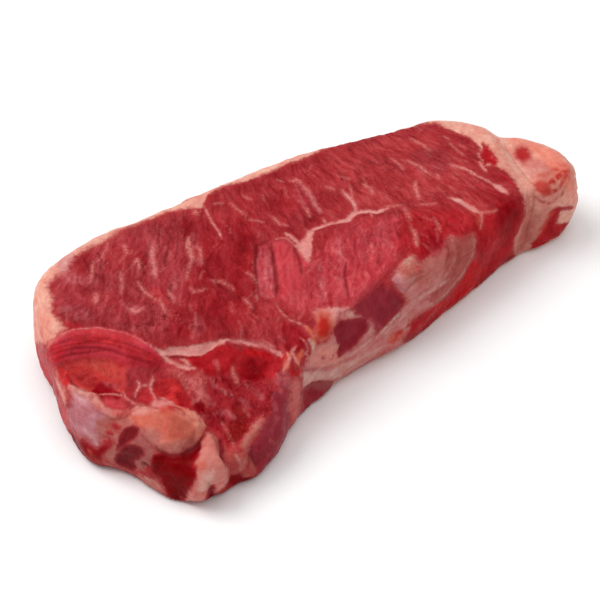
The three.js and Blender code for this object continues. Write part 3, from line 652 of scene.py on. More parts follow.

# Soft lines of colour over lean and fat: name, colour, strength, half width in mm, way in pixels.
# Lines named sheen, light or highlight are painted highlights; shade or fold, painted shade.
LINES = [
    ("silver sheen", "pale", 0.5, 0.3, [
        (474, 240), (472, 254), (467, 264), (460, 275), (453, 284), (445, 293), (436, 301)]),
    ("silver line, pale", "pale", 0.3, 0.45, [
        (452, 240), (455, 256), (448, 272), (436, 288), (420, 299), (404, 312), (390, 327)]),
    ("silver line, dark", "deep", 0.15, 0.45, [
        (461, 240), (461, 256), (452, 274), (440, 289), (424, 301), (406, 315), (390, 331), (372, 346)]),
    ("silver shade", "deep", 0.2, 1.6, [(458, 246), (458, 262), (448, 280), (436, 292)]),
    ("front sheen", "pale", 0.7, 0.8, [
        (306, 377), (322, 377), (338, 373), (352, 364), (368, 354), (384, 347)]),
    ("front sheen, high", "white", 0.45, 0.5, [
        (322, 366), (336, 362), (350, 355), (362, 346), (374, 337)]),
    ("front line, red", "bright", 0.5, 0.6, [(338, 379), (354, 371), (370, 361), (386, 352), (398, 345)]),
    ("front veil", "film", 0.5, 1.2, [(370, 320), (380, 330), (374, 338)]),
    ("front blush", "rosy", 0.35, 1.6, [(428, 262), (436, 256), (444, 254)]),
    ("clump spot", "bright", 0.4, 0.8, [(414, 272), (420, 268)]),
    # Painted highlights on the clump.
    ("clump highlight", "white", 0.35, 0.9, [(404, 266), (411, 259)]),
    ("clump highlight, low", "pale", 0.4, 0.8, [(398, 276), (408, 280), (418, 278)]),
    ("bundle ridge 1", "film", 0.6, 0.45, [(260, 250), (259, 262), (260, 276), (262, 296)]),
    ("bundle ridge 2", "film", 0.65, 0.45, [(265, 246), (265, 260), (266, 276), (268, 298)]),
    ("bundle ridge 3", "film", 0.55, 0.4, [(269, 250), (270, 264), (272, 280), (273, 298)]),
    ("film 1", "film", 0.5, 1.3, [(150, 246), (152, 258), (154, 276)]),
    ("film 2", "film", 0.5, 1.4, [(191, 262), (194, 258), (200, 264)]),
    ("film 3", "film", 0.5, 2.4, [(64, 308), (76, 311), (88, 316)]),
    ("film 4", "film", 0.5, 1.8, [(124, 302), (132, 309), (142, 309)]),
    ("film 5", "film", 0.45, 1.6, [(196, 316), (200, 326), (198, 334)]),
    ("film 6", "film", 0.6, 1.0, [(302, 186), (312, 199), (320, 212)]),
    ("film 7", "film", 0.4, 1.0, [(296, 186), (300, 198), (304, 208)]),
    ("film 8", "film", 0.5, 2.2, [(62, 276), (78, 279), (96, 282)]),
    ("film 9", "film", 0.4, 1.2, [(174, 276), (172, 290), (176, 302)]),
    ("film 10", "film", 0.45, 1.4, [(320, 262), (323, 282), (324, 300)]),
    ("film 11", "film", 0.4, 1.2, [(338, 240), (340, 262), (338, 284)]),
    ("film 12", "film", 0.35, 1.2, [(356, 224), (364, 244), (366, 262)]),
    ("film 13", "film", 0.35, 1.2, [(378, 218), (386, 236), (388, 254)]),
    # Painted shade along folds of the lean.
    ("fold 1", "deep", 0.5, 0.5, [(328, 238), (330, 262), (328, 286), (331, 306)]),
    ("fold 2", "deep", 0.4, 0.5, [(309, 268), (312, 284), (311, 304)]),
    ("fold 3", "deep", 0.4, 0.5, [(362, 236), (366, 256), (362, 280)]),
    ("fold 4", "deep", 0.35, 0.5, [(374, 216), (380, 236), (378, 262)]),
    ("fold 5", "deep", 0.4, 0.6, [(206, 268), (214, 280), (226, 292), (238, 306)]),
    ("fold 6", "deep", 0.4, 0.8, [(236, 226), (246, 236), (252, 250)]),
    # Painted highlights on the band.
    ("band highlight, top", "rosy", 0.75, 0.9, [(60, 340), (78, 334), (98, 333), (120, 337), (142, 345)]),
    ("band highlight, middle", "bright", 0.7, 0.7, [
        (56, 351), (72, 344), (92, 341), (112, 343), (134, 350), (154, 359)]),
    ("band edge", "pink_fat", 0.5, 0.7, [(46, 352), (50, 344), (58, 338), (68, 333)]),
    ("amber brown", "deep", 0.35, 1.4, [(78, 380), (92, 384), (104, 380)]),
    ("amber glow", "nose_brown", 0.35, 2.4, [(92, 363), (100, 365), (107, 368), (112, 375)]),
    ("ridge glow", "pink_fat", 0.7, 1.0, [
        (70, 387), (84, 392), (94, 399), (102, 409), (112, 414), (124, 415), (140, 410), (154, 410)]),
    # Painted highlights on the lilac membrane.
    ("lilac highlight", "white", 0.35, 0.7, [(84, 428), (92, 436), (96, 444)]),
    ("lilac highlight, top", "white", 0.3, 1.2, [(74, 392), (84, 398), (90, 406)]),
    ("lilac red", "red", 0.35, 1.0, [(100, 424), (112, 426), (118, 432)]),
    # Painted highlights on the nose.
    ("nose highlight", "cream", 0.35, 1.5, [(138, 412), (150, 413), (160, 419)]),
    ("nose highlight, right", "peach", 0.7, 1.6, [(176, 415), (188, 419), (198, 427)]),
    ("nose line", "bright", 0.45, 0.5, [(162, 410), (164, 420), (165, 430)]),
    ("nose blush", "bright", 0.5, 1.0, [(168, 408), (176, 412), (182, 416)]),
    ("nose shade", "veil", 0.35, 1.5, [(160, 450), (174, 451), (188, 446), (198, 439)]),
    # Painted highlights on the under strip and the low lump.
    ("under strip highlight", "pale", 0.5, 0.7, [(146, 478), (156, 484), (162, 491)]),
    ("low lump highlight", "white", 0.5, 0.8, [(202, 487), (206, 479), (212, 472)]),
    ("low lump blush", "red", 0.4, 0.9, [(198, 452), (196, 464), (194, 472)]),
    ("low lump shade", "veil", 0.5, 1.0, [(224, 466), (228, 476), (222, 486)]),
    # Painted highlight on the small lump.
    ("small lump highlight", "white", 0.3, 0.8, [(236, 456), (242, 460), (240, 468)]),
    ("small lump blush", "red", 0.4, 0.9, [(246, 468), (252, 472)]),
    ("lobe speck 1", "film", 0.45, 0.7, [(211, 379), (216, 387)]),
    ("lobe speck 2", "film", 0.45, 0.7, [(224, 391), (232, 396)]),
    ("lobe speck 3", "film", 0.4, 0.8, [(208, 398), (214, 405)]),
    ("lobe speck 4", "film", 0.4, 0.7, [(240, 399), (250, 407)]),
    ("lobe speck 5", "film", 0.4, 0.9, [(254, 390), (262, 398)]),
    ("lobe speck 6", "film", 0.4, 0.9, [(216, 414), (226, 412), (234, 418)]),
    ("lobe speck 7", "film", 0.4, 0.8, [(246, 383), (253, 389)]),
    ("lobe speck 8", "film", 0.4, 0.6, [(214, 362), (217, 372)]),
    ("lobe shade 2", "dark", 0.6, 0.9, [(222, 376), (228, 384), (238, 390)]),
    ("lobe shade 3", "dark", 0.6, 1.0, [(236, 424), (242, 432), (236, 442)]),
    ("lobe shade 4", "dark", 0.5, 0.8, [(208, 412), (212, 424), (220, 430)]),
    # Painted highlights on the lobe and its plum face.
    ("lobe highlight 2", "vivid", 0.5, 1.2, [(246, 352), (258, 353), (268, 358)]),
    ("lobe highlight 3", "film", 0.4, 1.0, [(276, 378), (284, 384), (280, 392)]),
    ("plum highlight", "film", 0.35, 0.9, [(276, 404), (278, 416), (272, 430)]),
    ("plum shade", "dark", 0.5, 1.2, [(258, 448), (262, 458), (268, 452)]),
    ("corner orange 1", "orange", 0.8, 0.7, [(286, 368), (288, 360), (292, 354)]),
    ("corner orange 2", "orange", 0.7, 0.6, [(296, 366), (298, 358), (302, 352)]),
    ("corner red", "vivid", 0.6, 0.8, [(290, 372), (294, 376), (300, 372)]),
    ("corner pale", "pale", 0.6, 0.6, [(310, 340), (314, 346), (312, 354)]),
    ("corner strand, orange", "orange", 0.6, 0.5, [(306, 326), (312, 334), (316, 344)]),
    ("tail blush 1", "bright", 0.35, 1.4, [(556, 158), (564, 166), (570, 178)]),
    ("tail blush 2", "orange", 0.3, 1.6, [(536, 176), (546, 172), (556, 168)]),
    # Painted highlights on the tail and the sheath.
    ("tail highlight", "white", 0.3, 1.4, [(518, 168), (530, 172), (544, 170)]),
    ("tail highlight, low", "cream", 0.4, 1.0, [(540, 206), (546, 214), (540, 228)]),
    ("sheath highlight", "white", 0.4, 0.7, [(506, 152), (514, 166), (524, 180)]),
    ("sheath shade", "veil", 0.3, 0.8, [(524, 214), (522, 230), (516, 248)]),
    ("sheath blush", "red", 0.3, 0.9, [(528, 196), (528, 208)]),
    ("cap blush", "bright", 0.25, 1.2, [(38, 318), (42, 330), (44, 342)]),
    # Painted highlight on the cap.
    ("cap highlight", "white", 0.4, 1.2, [(60, 264), (74, 250), (96, 240)]),
    ("shoulder shade", "dark", 0.5, 1.2, [(506, 206), (510, 222), (506, 238)]),
    ("front line, long", "white", 0.5, 0.4, [(377, 337), (395, 318), (412, 302), (430, 292), (448, 279)]),
    ("front line, short", "pale", 0.5, 0.35, [(385, 334), (398, 322), (410, 309)]),
    ("front streak 2", "veil", 0.35, 0.5, [(345, 358), (360, 346), (374, 334)]),
    ("front streak 3", "veil", 0.35, 0.6, [(392, 300), (402, 308), (416, 300), (434, 286)]),
    ("front streak 4", "cream", 0.5, 0.8, [(326, 346), (334, 350), (340, 346)]),
    ("front streak 5", "peach", 0.6, 1.2, [(318, 350), (328, 354), (336, 360)]),
    ("front streak 6", "veil", 0.4, 0.6, [(306, 370), (324, 369), (340, 362)]),
    ("seam c glow", "orange", 0.2, 1.6, [(470, 210), (478, 216), (481, 226)]),
    ("cap slit", "red", 0.7, 0.7, [(487, 170), (496, 174), (506, 179), (514, 186)]),
    ("chine streak", "orange", 0.6, 0.5, [(88, 450), (94, 456), (99, 462)]),
    ("lilac glow", "bright", 0.7, 0.8, [(114, 413), (124, 416), (133, 411)]),
    ("main seam, thin right", "film", 0.6, 0.8, [
        (232, 341), (246, 342), (258, 344), (268, 348), (278, 354)]),
    ("tail streak 1", "tail_red", 0.9, 0.9, [(546, 188), (553, 182), (559, 175), (567, 170)]),
    ("tail streak 2", "tail_red", 0.8, 0.6, [(550, 181), (557, 178), (563, 172)]),
    ("tail streak 3", "tail_red", 0.7, 0.5, [(553, 170), (560, 169), (569, 171)]),
    ("tail streak 4", "tail_red", 0.8, 0.6, [(543, 196), (551, 193), (559, 188), (563, 181), (567, 175)]),
    ("tail streak 5", "red", 0.7, 0.45, [
        (536, 198), (542, 202), (549, 203), (556, 200), (562, 195), (565, 187)]),
    ("tail streak 6", "tail_red", 0.6, 0.5, [(537, 190), (546, 192), (556, 191)]),
    ("tail streak 7", "seam", 0.5, 0.6, [(540, 197), (550, 198), (558, 194)]),
    ("tail edge", "tail_red", 0.7, 1.0, [(556, 208), (550, 216), (545, 224), (538, 234)]),
    ("tail rim", "orange", 0.3, 1.6, [(568, 164), (574, 180), (575, 200)]),
    ("amber streak 1", "deep", 0.5, 0.6, [(66, 370), (76, 376), (88, 379)]),
    ("amber streak 2", "deep", 0.4, 0.5, [(82, 370), (92, 375), (100, 382)]),
    ("amber streak 3", "film", 0.4, 0.6, [(104, 382), (116, 386), (126, 384)]),
    ("front spot", "bright", 0.8, 0.9, [(392, 340), (398, 334), (402, 331)]),
]

# The edge of each named area.
EDGES = {row[0]: row[-1] for row in FAT_AREAS + LEAN_AREAS + LEAN_TINTS + FAT_TINTS}

# How far a named stroke stands out of the skin, and how far to each side, in mm.
STROKE_RELIEF = [
    ("seam a", -0.3, 1.2), ("seam b, left", -0.4, 1.6), ("seam b, middle", -0.4, 1.6),
    ("seam b, right", -0.35, 1.4), ("seam b, branch", -0.3, 1.3), ("seam c", -0.45, 1.6),
    ("seam d", -0.35, 1.4), ("band join", -0.7, 1.8), ("ridge", 1.0, 1.7), ("ridge left", 0.9, 1.8),
    ("ridge under oval", 0.7, 1.4), ("band seam", 0.45, 1.4), ("chine edge", 0.7, 1.6),
    ("fork bar", 0.35, 1.0), ("fork left", 0.35, 1.0), ("fork right", 0.35, 1.0),
    ("bundle left", -0.45, 1.0), ("bundle right", -0.75, 1.2), ("smooth bundle right", -0.45, 1.1),
    ("fibre gap 1", -0.4, 1.1), ("main seam low side", -0.9, 1.6), ("cap gap", -0.5, 1.3),
    ("tail gap", -0.9, 2.0), ("low lump crease", -1.6, 1.8), ("low lump notch", -1.3, 1.6),
    ("small lump crease", -0.8, 1.3), ("front crease", -0.5, 1.3), ("lip", -0.8, 1.5),
    ("band line 1", -0.4, 0.8), ("band line 2", -0.45, 0.8), ("band line 3", -0.45, 0.8),
    ("band line 4", -0.4, 0.8), ("band line 5", -0.35, 0.7), ("band line 6", -0.35, 0.7),
    ("notch", -1.1, 1.4), ("chine crease", -0.7, 1.4), ("nose crease", -1.2, 2.0),
    ("plum crease", -1.0, 1.6), ("clump crease", -0.5, 1.2), ("corner strand, long", 0.4, 1.1),
    ("corner strand, low", 0.5, 1.2), ("corner strand, left", 0.5, 1.2),
]
# How far a named area stands out of the skin, and how far inside its edge it reaches that, in mm.
AREA_RELIEF = [
    ("nose lump", 2.0, 4.0), ("low lump", 1.5, 3.0), ("small lump", 1.2, 2.5), ("main seam", -0.5, 1.5),
    ("plum in the fat", -0.8, 1.8), ("plum by the clump", -0.5, 1.8), ("under nose", -1.2, 3.0),
    ("patch beside lilac", -0.7, 1.4), ("patch under lilac", -0.7, 1.4), ("clump", 0.8, 2.0),
    ("silver skin", 0.4, 1.0), ("smooth bundle", 0.5, 2.2), ("bundle block", 0.4, 1.4),
    ("cap red spot", -0.3, 1.0), ("amber film", -0.5, 2.0), ("nose red", -0.9, 2.0),
    ("lobe bright", 0.8, 2.6), ("lobe right", 0.8, 2.6), ("band", 0.6, 2.5), ("chine dark", -0.6, 1.5),
    ("chine oval", -0.3, 1.0), ("amber corner", 0.5, 2.0), ("diagonal fat", 1.0, 2.0),
    ("nose, left lump", 1.2, 3.0), ("pale membrane", 0.5, 1.6),
]

# How strong the small pattern of the lean is in a named area, where it isn't 1.
DETAIL_AREAS = [
    ("eye, crumbly", 1.5), ("eye, left", 1.1), ("smooth bundle", 0.35), ("plum by the clump", 0.5),
    ("plum in the fat", 0.6), ("under nose", 0.6), ("nose red", 1.25), ("amber film", 1.05),
    ("cavity", 0.5), ("lobe face", 0.7), ("band", 0.6), ("lobe mottled", 1.9), ("ridge oval", 1.3),
    ("right foot", 0.35), ("right foot, low", 0.6), ("right shoulder", 0.9), ("pale membrane", 1.8),
    ("clump", 1.6),
]


class Streaks(NamedTuple):
    """Random strokes along the grain, on the eye and on the underside, in mm and radians."""
    seed: int
    number: int
    lengths: tuple
    half_widths: tuple
    turn: float
    tone: tuple = (1.0, 1.0, 1.0)
    strength: float = 0.0
    height: float = 0.0


# Random marbling.
FLECKS = Streaks(20, 120, (2.0, 6.0), (-0.4, 0.1), 0.35)
# Random fibres. The tone multiplies the lean's colour.
STREAKS = [
    Streaks(21, 420, (5.0, 14.0), (0.1, 0.5), 0.18, (1.2, 1.9, 1.8), 0.35, 0.12),
    Streaks(22, 420, (4.0, 13.0), (0.0, 0.4), 0.18, (0.7, 0.5, 0.55), 0.4, -0.2),
    Streaks(23, 200, (1.5, 4.0), (0.3, 0.9), 0.9, (1.12, 1.6, 1.5), 0.35, 0.1),
]


class WallLines(NamedTuple):
    """Random level lines on the fat that the camera doesn't see, in mm."""
    seed: int
    number: int
    lengths: tuple
    half_widths: tuple
    colour: str
    strength: float
    height: float


WALL_LINES = [
    WallLines(31, 34, (8.0, 34.0), (-0.15, 0.2), "red", 0.4, -0.25),
    WallLines(32, 26, (10.0, 44.0), (0.2, 1.0), "seam", 0.5, 0.2),
    # Darker fat along the grooves that this row sinks: painted shade in the creases of the wall.
    WallLines(33, 16, (14.0, 50.0), (0.0, 0.3), "dull_fat", 0.7, -0.6),
    WallLines(34, 14, (3.0, 10.0), (0.6, 2.0), "rosy", 0.3, -0.15),
]

# Noise in the material: name, what it follows, waves per mm, and the noise's detail and roughness.
# Along the fibres the three numbers run across them, along them and down.
PATTERNS = [
    ("bundles", "fibres", (0.34, 0.09, 0.1), 3.0, 0.55),
    ("strands", "fibres", (0.75, 0.13, 0.16), 4.0, 0.6),
    ("threads", "fibres", (2.1, 0.3, 0.4), 3.0, 0.6),
    ("gaps", "fibres", (0.42, 0.1, 0.12), 3.0, 0.6),
    ("films", "fibres", (0.5, 0.14, 0.3), 4.0, 0.62),
    ("crumbs", "place", (0.55, 0.55, 0.55), 4.0, 0.65),
    ("blotches", "place", (0.09, 0.09, 0.09), 3.0, 0.55),
    # Patches that are painted lighter as sheen and darker as random tone.
    ("sheen_and_tone", "place", (0.24, 0.24, 0.24), 3.0, 0.6),
    ("edge", "place", (0.8, 0.8, 0.8), 3.0, 0.6),
    ("fine edge", "place", (2.4, 2.4, 2.4), 2.0, 0.5),
    ("soft", "place", (0.16, 0.16, 0.16), 4.0, 0.55),
    ("grease", "place", (0.7, 0.7, 0.7), 4.0, 0.6),
    ("layers", "place", (0.09, 0.09, 0.9), 3.0, 0.6),
    ("lumps", "place", (0.4, 0.4, 0.4), 4.0, 0.6),
    ("shine", "place", (0.5, 0.5, 0.5), 3.0, 0.6),
    ("grit", "uneven place", (1.0, 1.0, 1.0), 3.0, 0.65),
    ("lace", "uneven place", (0.36, 0.36, 0.36), 3.0, 0.7),
]
# What makes the lean lighter and darker: pattern, where that starts and is full, how strong it is
# there, and the weight that it goes by.
# The lighter spots are in part painted glints of the moist surface, in part random tone.
LIGHTER = [
    ("strands", 0.47, 0.72, 0.5, "fibrous"),
    ("bundles", 0.45, 0.68, 0.4, "all"),
    ("crumbs", 0.52, 0.74, 0.45, "all"),
    ("threads", 0.5, 0.72, 0.35, "fibrous"),
    ("sheen_and_tone", 0.52, 0.66, 0.25, "plain"),
    ("grit", 0.5, 0.6, 0.4, "crumbly"),
    ("lace", 0.52, 0.6, 0.45, "crumbly"),
]
DARKER = [
    ("strands", 0.5, 0.28, 0.4, "fibrous"),
    ("bundles", 0.5, 0.3, 0.4, "all"),
    ("crumbs", 0.46, 0.28, 0.4, "all"),
    ("blotches", 0.42, 0.62, 0.3, "all"),
    ("sheen_and_tone", 0.5, 0.35, 0.4, "plain"),
    ("grit", 0.46, 0.36, 0.12, "crumbly"),
    ("lace", 0.47, 0.38, 0.5, "crumbly"),
]
# What changes the fat's colour: pattern, where that starts and is full, its share there, and the
# tone that multiplies the colour.
FAT_TONES = [
    ("depth", 1.3, 0.1, 0.5, (0.85, 0.6, 0.62)),
    ("soft", 0.46, 0.66, 0.5, (0.92, 0.62, 0.6)),
    ("lumps", 0.5, 0.68, 0.55, (1.1, 1.35, 1.3)),
    ("lumps", 0.46, 0.3, 0.4, (0.82, 0.55, 0.57)),
    ("layers", 0.5, 0.66, 0.35, (1.1, 1.3, 1.28)),
    ("layers", 0.48, 0.34, 0.35, (0.84, 0.62, 0.63)),
    ("grease", 0.5, 0.72, 0.5, (1.1, 1.3, 1.28)),
    ("grease", 0.47, 0.28, 0.5, (0.82, 0.6, 0.62)),
]
# How much of each pattern's height the bump has.
LEAN_HEIGHTS = [("strands", 0.8), ("threads", 0.3), ("bundles", 0.9), ("crumbs", 0.6)]
FAT_HEIGHTS = [("grease", 0.5), ("soft", 0.6)]


def smooth(value, low, high):
    """Goes softly from 0 at low to 1 at high."""
    t = np.clip((value - low) / (high - low), 0.0, 1.0)
    return t * t * (3.0 - 2.0 * t)


def linear(colour):
    """A 0 to 255 colour as Blender's linear light."""
    part = np.array(colour) / 255.0
    return np.where(part <= 0.04045, part / 12.92, ((part + 0.055) / 1.055) ** 2.4)


def rgba(colour):
    return (*linear(colour), 1.0)


class View:
    """The camera as plain vectors: it turns points into pixels and pixels into rays."""

    def __init__(self):
        azimuth, elevation = CAMERA_AZIMUTH, CAMERA_ELEVATION
        self.back = np.array([
            math.sin(azimuth) * math.cos(elevation),
            -math.cos(azimuth) * math.cos(elevation),
            math.sin(elevation),
        ])
        self.right = np.array([math.cos(azimuth), math.sin(azimuth), 0.0])
        self.up = np.cross(self.back, self.right)
        self.place = CAMERA_TARGET + CAMERA_DISTANCE * self.back

    def pixels(self, points):
        away = points - self.place
        depth = -(away @ self.back)
        across = IMAGE_SIDE / 2 + FOCAL_PIXELS * (away @ self.right) / depth
        down = IMAGE_SIDE / 2 - FOCAL_PIXELS * (away @ self.up) / depth
        return np.stack([across, down], axis=1)

    def ray(self, pixel):
        across = (pixel[0] - IMAGE_SIDE / 2) / FOCAL_PIXELS
        down = (IMAGE_SIDE / 2 - pixel[1]) / FOCAL_PIXELS
        direction = self.right * across + self.up * down - self.back
        return direction / np.linalg.norm(direction)


def add_camera(view):
    data = bpy.data.cameras.new("camera")
    data.lens = LENS
    data.sensor_width = SENSOR
    data.clip_end = 20.0
    camera = bpy.data.objects.new("camera", data)
    camera.location = Vector(view.place * MM)
    camera.rotation_euler = Vector(-view.back).to_track_quat("-Z", "Y").to_euler()
    bpy.context.collection.objects.link(camera)
    bpy.context.scene.camera = camera


def modified_mesh(mesh, kind, **settings):
    """A mesh with one modifier applied."""
    carrier = bpy.data.objects.new("carrier", mesh)
    bpy.context.collection.objects.link(carrier)
    modifier = carrier.modifiers.new("step", kind)
    for name, value in settings.items():
        setattr(modifier, name, value)
    depsgraph = bpy.context.evaluated_depsgraph_get()
    made = bpy.data.meshes.new_from_object(carrier.evaluated_get(depsgraph))
    bpy.data.objects.remove(carrier)
    return made


def refine_seen_side(mesh, view):
    """Splits each face that turns towards the camera into four."""
    work = bmesh.new()
    work.from_mesh(mesh)
    work.normal_update()
    camera = Vector(view.place * MM)
    edges = set()
    for face in work.faces:
        to_camera = (camera - face.calc_center_median()).normalized()
        if face.normal.dot(to_camera) > SEEN_FROM:
            edges.update(face.edges)
    bmesh.ops.subdivide_edges(work, edges=list(edges), cuts=1, use_grid_fill=True)
    work.to_mesh(mesh)
    work.free()


def ease_plan(mesh):
    """Moves the mesh sideways, softly round each centre of the table of shifts."""
    flat = np.empty(len(mesh.vertices) * 3)
    mesh.vertices.foreach_get("co", flat)
    points = flat.reshape(-1, 3)
    start = points[:, :2] / MM
    for centre, shift, reach in PLAN_SHIFTS:
        gap = np.hypot(*(start - centre).T)
        points[:, :2] += np.exp(-((gap / reach) ** 2))[:, None] * np.array(shift) * MM
    mesh.vertices.foreach_set("co", flat)
    mesh.update()


def skin_object(node, view):
    """A fine copy of the CAD solid in even cells, finer still where the camera sees it."""
    mesh = modified_mesh(node.data.copy(), "REMESH", mode="VOXEL", voxel_size=VOXEL * MM)
    mesh = modified_mesh(mesh, "SMOOTH", factor=SMOOTHING, iterations=SMOOTHING_ROUNDS)
    ease_plan(mesh)
    refine_seen_side(mesh, view)
    mesh = modified_mesh(mesh, "SMOOTH", factor=SMOOTHING, iterations=SMOOTHING_ROUNDS)
    mesh.name = "steak_skin"
    mesh.materials.clear()
    mesh.polygons.foreach_set("use_smooth", np.ones(len(mesh.polygons), dtype=bool))
    skin = bpy.data.objects.new("steak_skin", mesh)
    bpy.context.collection.objects.link(skin)
    return skin


class Skin:
    """The skin's points in mm with what each needs for painting."""

    def __init__(self, mesh, view):
        self.mesh = mesh
        self.view = view
        count = len(mesh.vertices)
        flat = np.empty(count * 3)
        mesh.vertices.foreach_get("co", flat)
        self.points = flat.reshape(count, 3) / MM
        mesh.vertices.foreach_get("normal", flat)
        self.normals = flat.reshape(count, 3).copy()
        self.pixels = view.pixels(self.points)
        self.uneven = self.wandering(self.pixels, EDGE_WAVES)
        self.patchy = 0.3 + 0.7 * smooth(self.ripple(1.7)[:, 0], -0.35, 0.25)
        polygons = [tuple(p.vertices) for p in mesh.polygons]
        self.tree = BVHTree.FromPolygons([Vector(p) for p in self.points], polygons)
        self.seen = self.seen_weights()
        self.front = smooth(self.inside(FRONT_MUSCLE), -1.0, 1.0) * self.seen
        self.fibrous = self.fibrous_weights()
        self.detail = self.detail_weights()
        self.grain = self.grain_vectors()
        # The way of each named stroke over the skin, once it has been drawn.
        self.ways = {}

    def ripple(self, size):
        """Smooth noise from -1 to 1 in three directions, with waves of about this size in mm."""
        return np.array([noise.noise_vector(Vector(p)) for p in self.points / size])

    def wandering(self, flat_points, waves):
        """Flat points moved by the ripples of a table."""
        moved = flat_points.copy()
        for size, amount in waves:
            moved += self.ripple(size)[:, :2] * amount
        return moved

    def seen_weights(self):
        """1 where the camera sees a point well, and 0 where it doesn't."""
        to_camera = self.view.place - self.points
        to_camera /= np.linalg.norm(to_camera, axis=1)[:, None]
        facing = np.einsum("ij,ij->i", self.normals, to_camera)
        weights = smooth(facing, 0.0, 0.12)
        for i in np.nonzero(weights > 0)[0]:
            start = Vector(self.points[i] + 0.6 * self.normals[i])
            if self.tree.ray_cast(start, Vector(to_camera[i]))[0] is not None:
                weights[i] = 0.0
        return weights

    def fibrous_weights(self):
        """1 on the eye of the cut face, where fibres show, and low on the walls and the lobe."""
        level = smooth(abs(self.normals[:, 2]), 0.45, 0.85)
        lobe = smooth(self.inside(LOBE), -1.0, 1.0) * self.seen
        return 0.2 + 0.8 * level * (1.0 - 0.8 * lobe)

    def detail_weights(self):
        """How strong the small pattern of the lean is at each point."""
        detail = np.ones(len(self.points))
        for name, weight in DETAIL_AREAS:
            detail += (weight - detail) * smooth(self.inside(EDGES[name]), -1.0, 1.0) * self.seen
        return detail

    def grain_vectors(self):
        """Each point's place across the fibres, along them and up, in mm."""
        flat = self.points[:, :2]
        out = flat - GRAIN_CENTRE
        radius = np.hypot(*out.T)
        across = np.arctan2(out[:, 0], -out[:, 1]) * GRAIN_CENTRE[1]
        across += (flat @ (FRONT_GRAIN[1], -FRONT_GRAIN[0]) - across) * self.front
        along = radius + (-flat @ FRONT_GRAIN - radius) * self.front
        drop = TOP_Z - self.points[:, 2]
        return np.stack([across, along + GRAIN_SLANT * drop, drop], axis=1)

    def place_of(self, pixel):
        """The point of the skin behind a pixel, or the seen point closest to that pixel."""
        hit = self.tree.ray_cast(Vector(self.view.place), Vector(self.view.ray(pixel)))[0]
        if hit is not None:
            return np.array(hit)
        gap = np.hypot(*(self.pixels - np.array(pixel)).T) + 1000.0 * (self.seen < 0.5)
        return self.points[np.argmin(gap)]

    def way(self, pixels):
        """A line of pixels as points on the skin, close enough together to follow its shape."""
        found = []
        for start, end in zip(pixels[:-1], pixels[1:]):
            start, end = np.array(start, float), np.array(end, float)
            steps = max(1, int(np.hypot(*(end - start)) / 3.0))
            for step in range(steps):
                found.append(self.place_of(start + (end - start) * step / steps))
        found.append(self.place_of(pixels[-1]))
        return np.array(found)

    def distance(self, way, reach, flat=False):
        """Indices of the points within reach of a way, their distance and how far along each is."""
        size = 2 if flat else 3
        points = self.points[:, :size]
        way = way[:, :size]
        low, high = way.min(0) - reach, way.max(0) + reach
        near = np.nonzero(np.all((points > low) & (points < high), axis=1))[0]
        best = np.full(len(near), reach)
        along = np.zeros(len(near))
        lengths = np.linalg.norm(np.diff(way, axis=0), axis=1)
        total = max(lengths.sum(), 1e-6)
        gone = 0.0
        for start, end, length in zip(way[:-1], way[1:], lengths):
            leg = end - start
            t = np.clip((points[near] - start) @ leg / max(leg @ leg, 1e-9), 0.0, 1.0)
            gap = np.linalg.norm(points[near] - start - t[:, None] * leg, axis=1)
            closer = gap < best
            best[closer] = gap[closer]
            along[closer] = (gone + t[closer] * length) / total
            gone += length
        return near, best, along

    def inside(self, edge):
        """Distance in mm inside a closed edge of pixels that wanders a little, negative outside it."""
        return signed_distance(self.uneven, edge) * PIXEL

    def stroke_depth(self, name, half_width, pixels):
        """How deep each nearby point is inside a stroke, in mm."""
        if name not in self.ways:
            self.ways[name] = self.way(pixels)
        near, gap, along = self.distance(self.ways[name], FAR)
        return near, half_width * taper(along) - gap

    def drawn_depth(self, strokes):
        """How deep each point is inside any stroke of a table, in mm."""
        depth = np.full(len(self.points), -FAR)
        for stroke in strokes:
            near, inside = self.stroke_depth(*stroke)
            depth[near] = np.maximum(depth[near], inside)
        return depth


def signed_distance(points, edge):
    """Distance of flat points inside a closed edge, negative outside it."""
    edge = np.array(edge, float)
    best = np.full(len(points), 1e9)
    crossings = np.zeros(len(points), dtype=int)
    for start, end in zip(edge, np.roll(edge, -1, axis=0)):
        leg = end - start
        t = np.clip((points - start) @ leg / max(leg @ leg, 1e-9), 0.0, 1.0)
        best = np.minimum(best, np.hypot(*(points - start - t[:, None] * leg).T))
        spans = (start[1] > points[:, 1]) != (end[1] > points[:, 1])
        rise = np.where(abs(leg[1]) < 1e-9, 1e-9, leg[1])
        at = start[0] + (points[:, 1] - start[1]) * leg[0] / rise
        crossings += spans & (points[:, 0] < at)
    return np.where(crossings % 2 == 1, best, -best)


def taper(along):
    """A stroke's half width from end to end, as a share of its full half width."""
    return 0.55 + 0.45 * smooth(np.minimum(along, 1.0 - along), 0.0, 0.22)


def rounded(way):
    """Flat points with the corners between them cut off twice."""
    way = np.array(way, float)
    for _ in range(2):
        cuts = [way[:-1] * (1.0 - share) + way[1:] * share for share in (0.25, 0.75)]
        way = np.concatenate([way[:1], np.stack(cuts, axis=1).reshape(-1, 2), way[-1:]])
    return way


def hidden_fat(skin):
    """Fat depth where the camera doesn't see: fat round the edge, lean inside the cut face."""
    plan = skin.wandering(skin.points[:, :2], UNDER_WAVES)
    hidden = -signed_distance(plan, rounded(UNDER_LEAN))
    for _, half_width, way in UNDER_SEAMS:
        on_floor = np.pad(rounded(way), ((0, 0), (0, 1)))
        near, gap, along = skin.distance(on_floor, FAR)
        hidden[near] = np.maximum(hidden[near], half_width * taper(along) - gap)
    return hidden


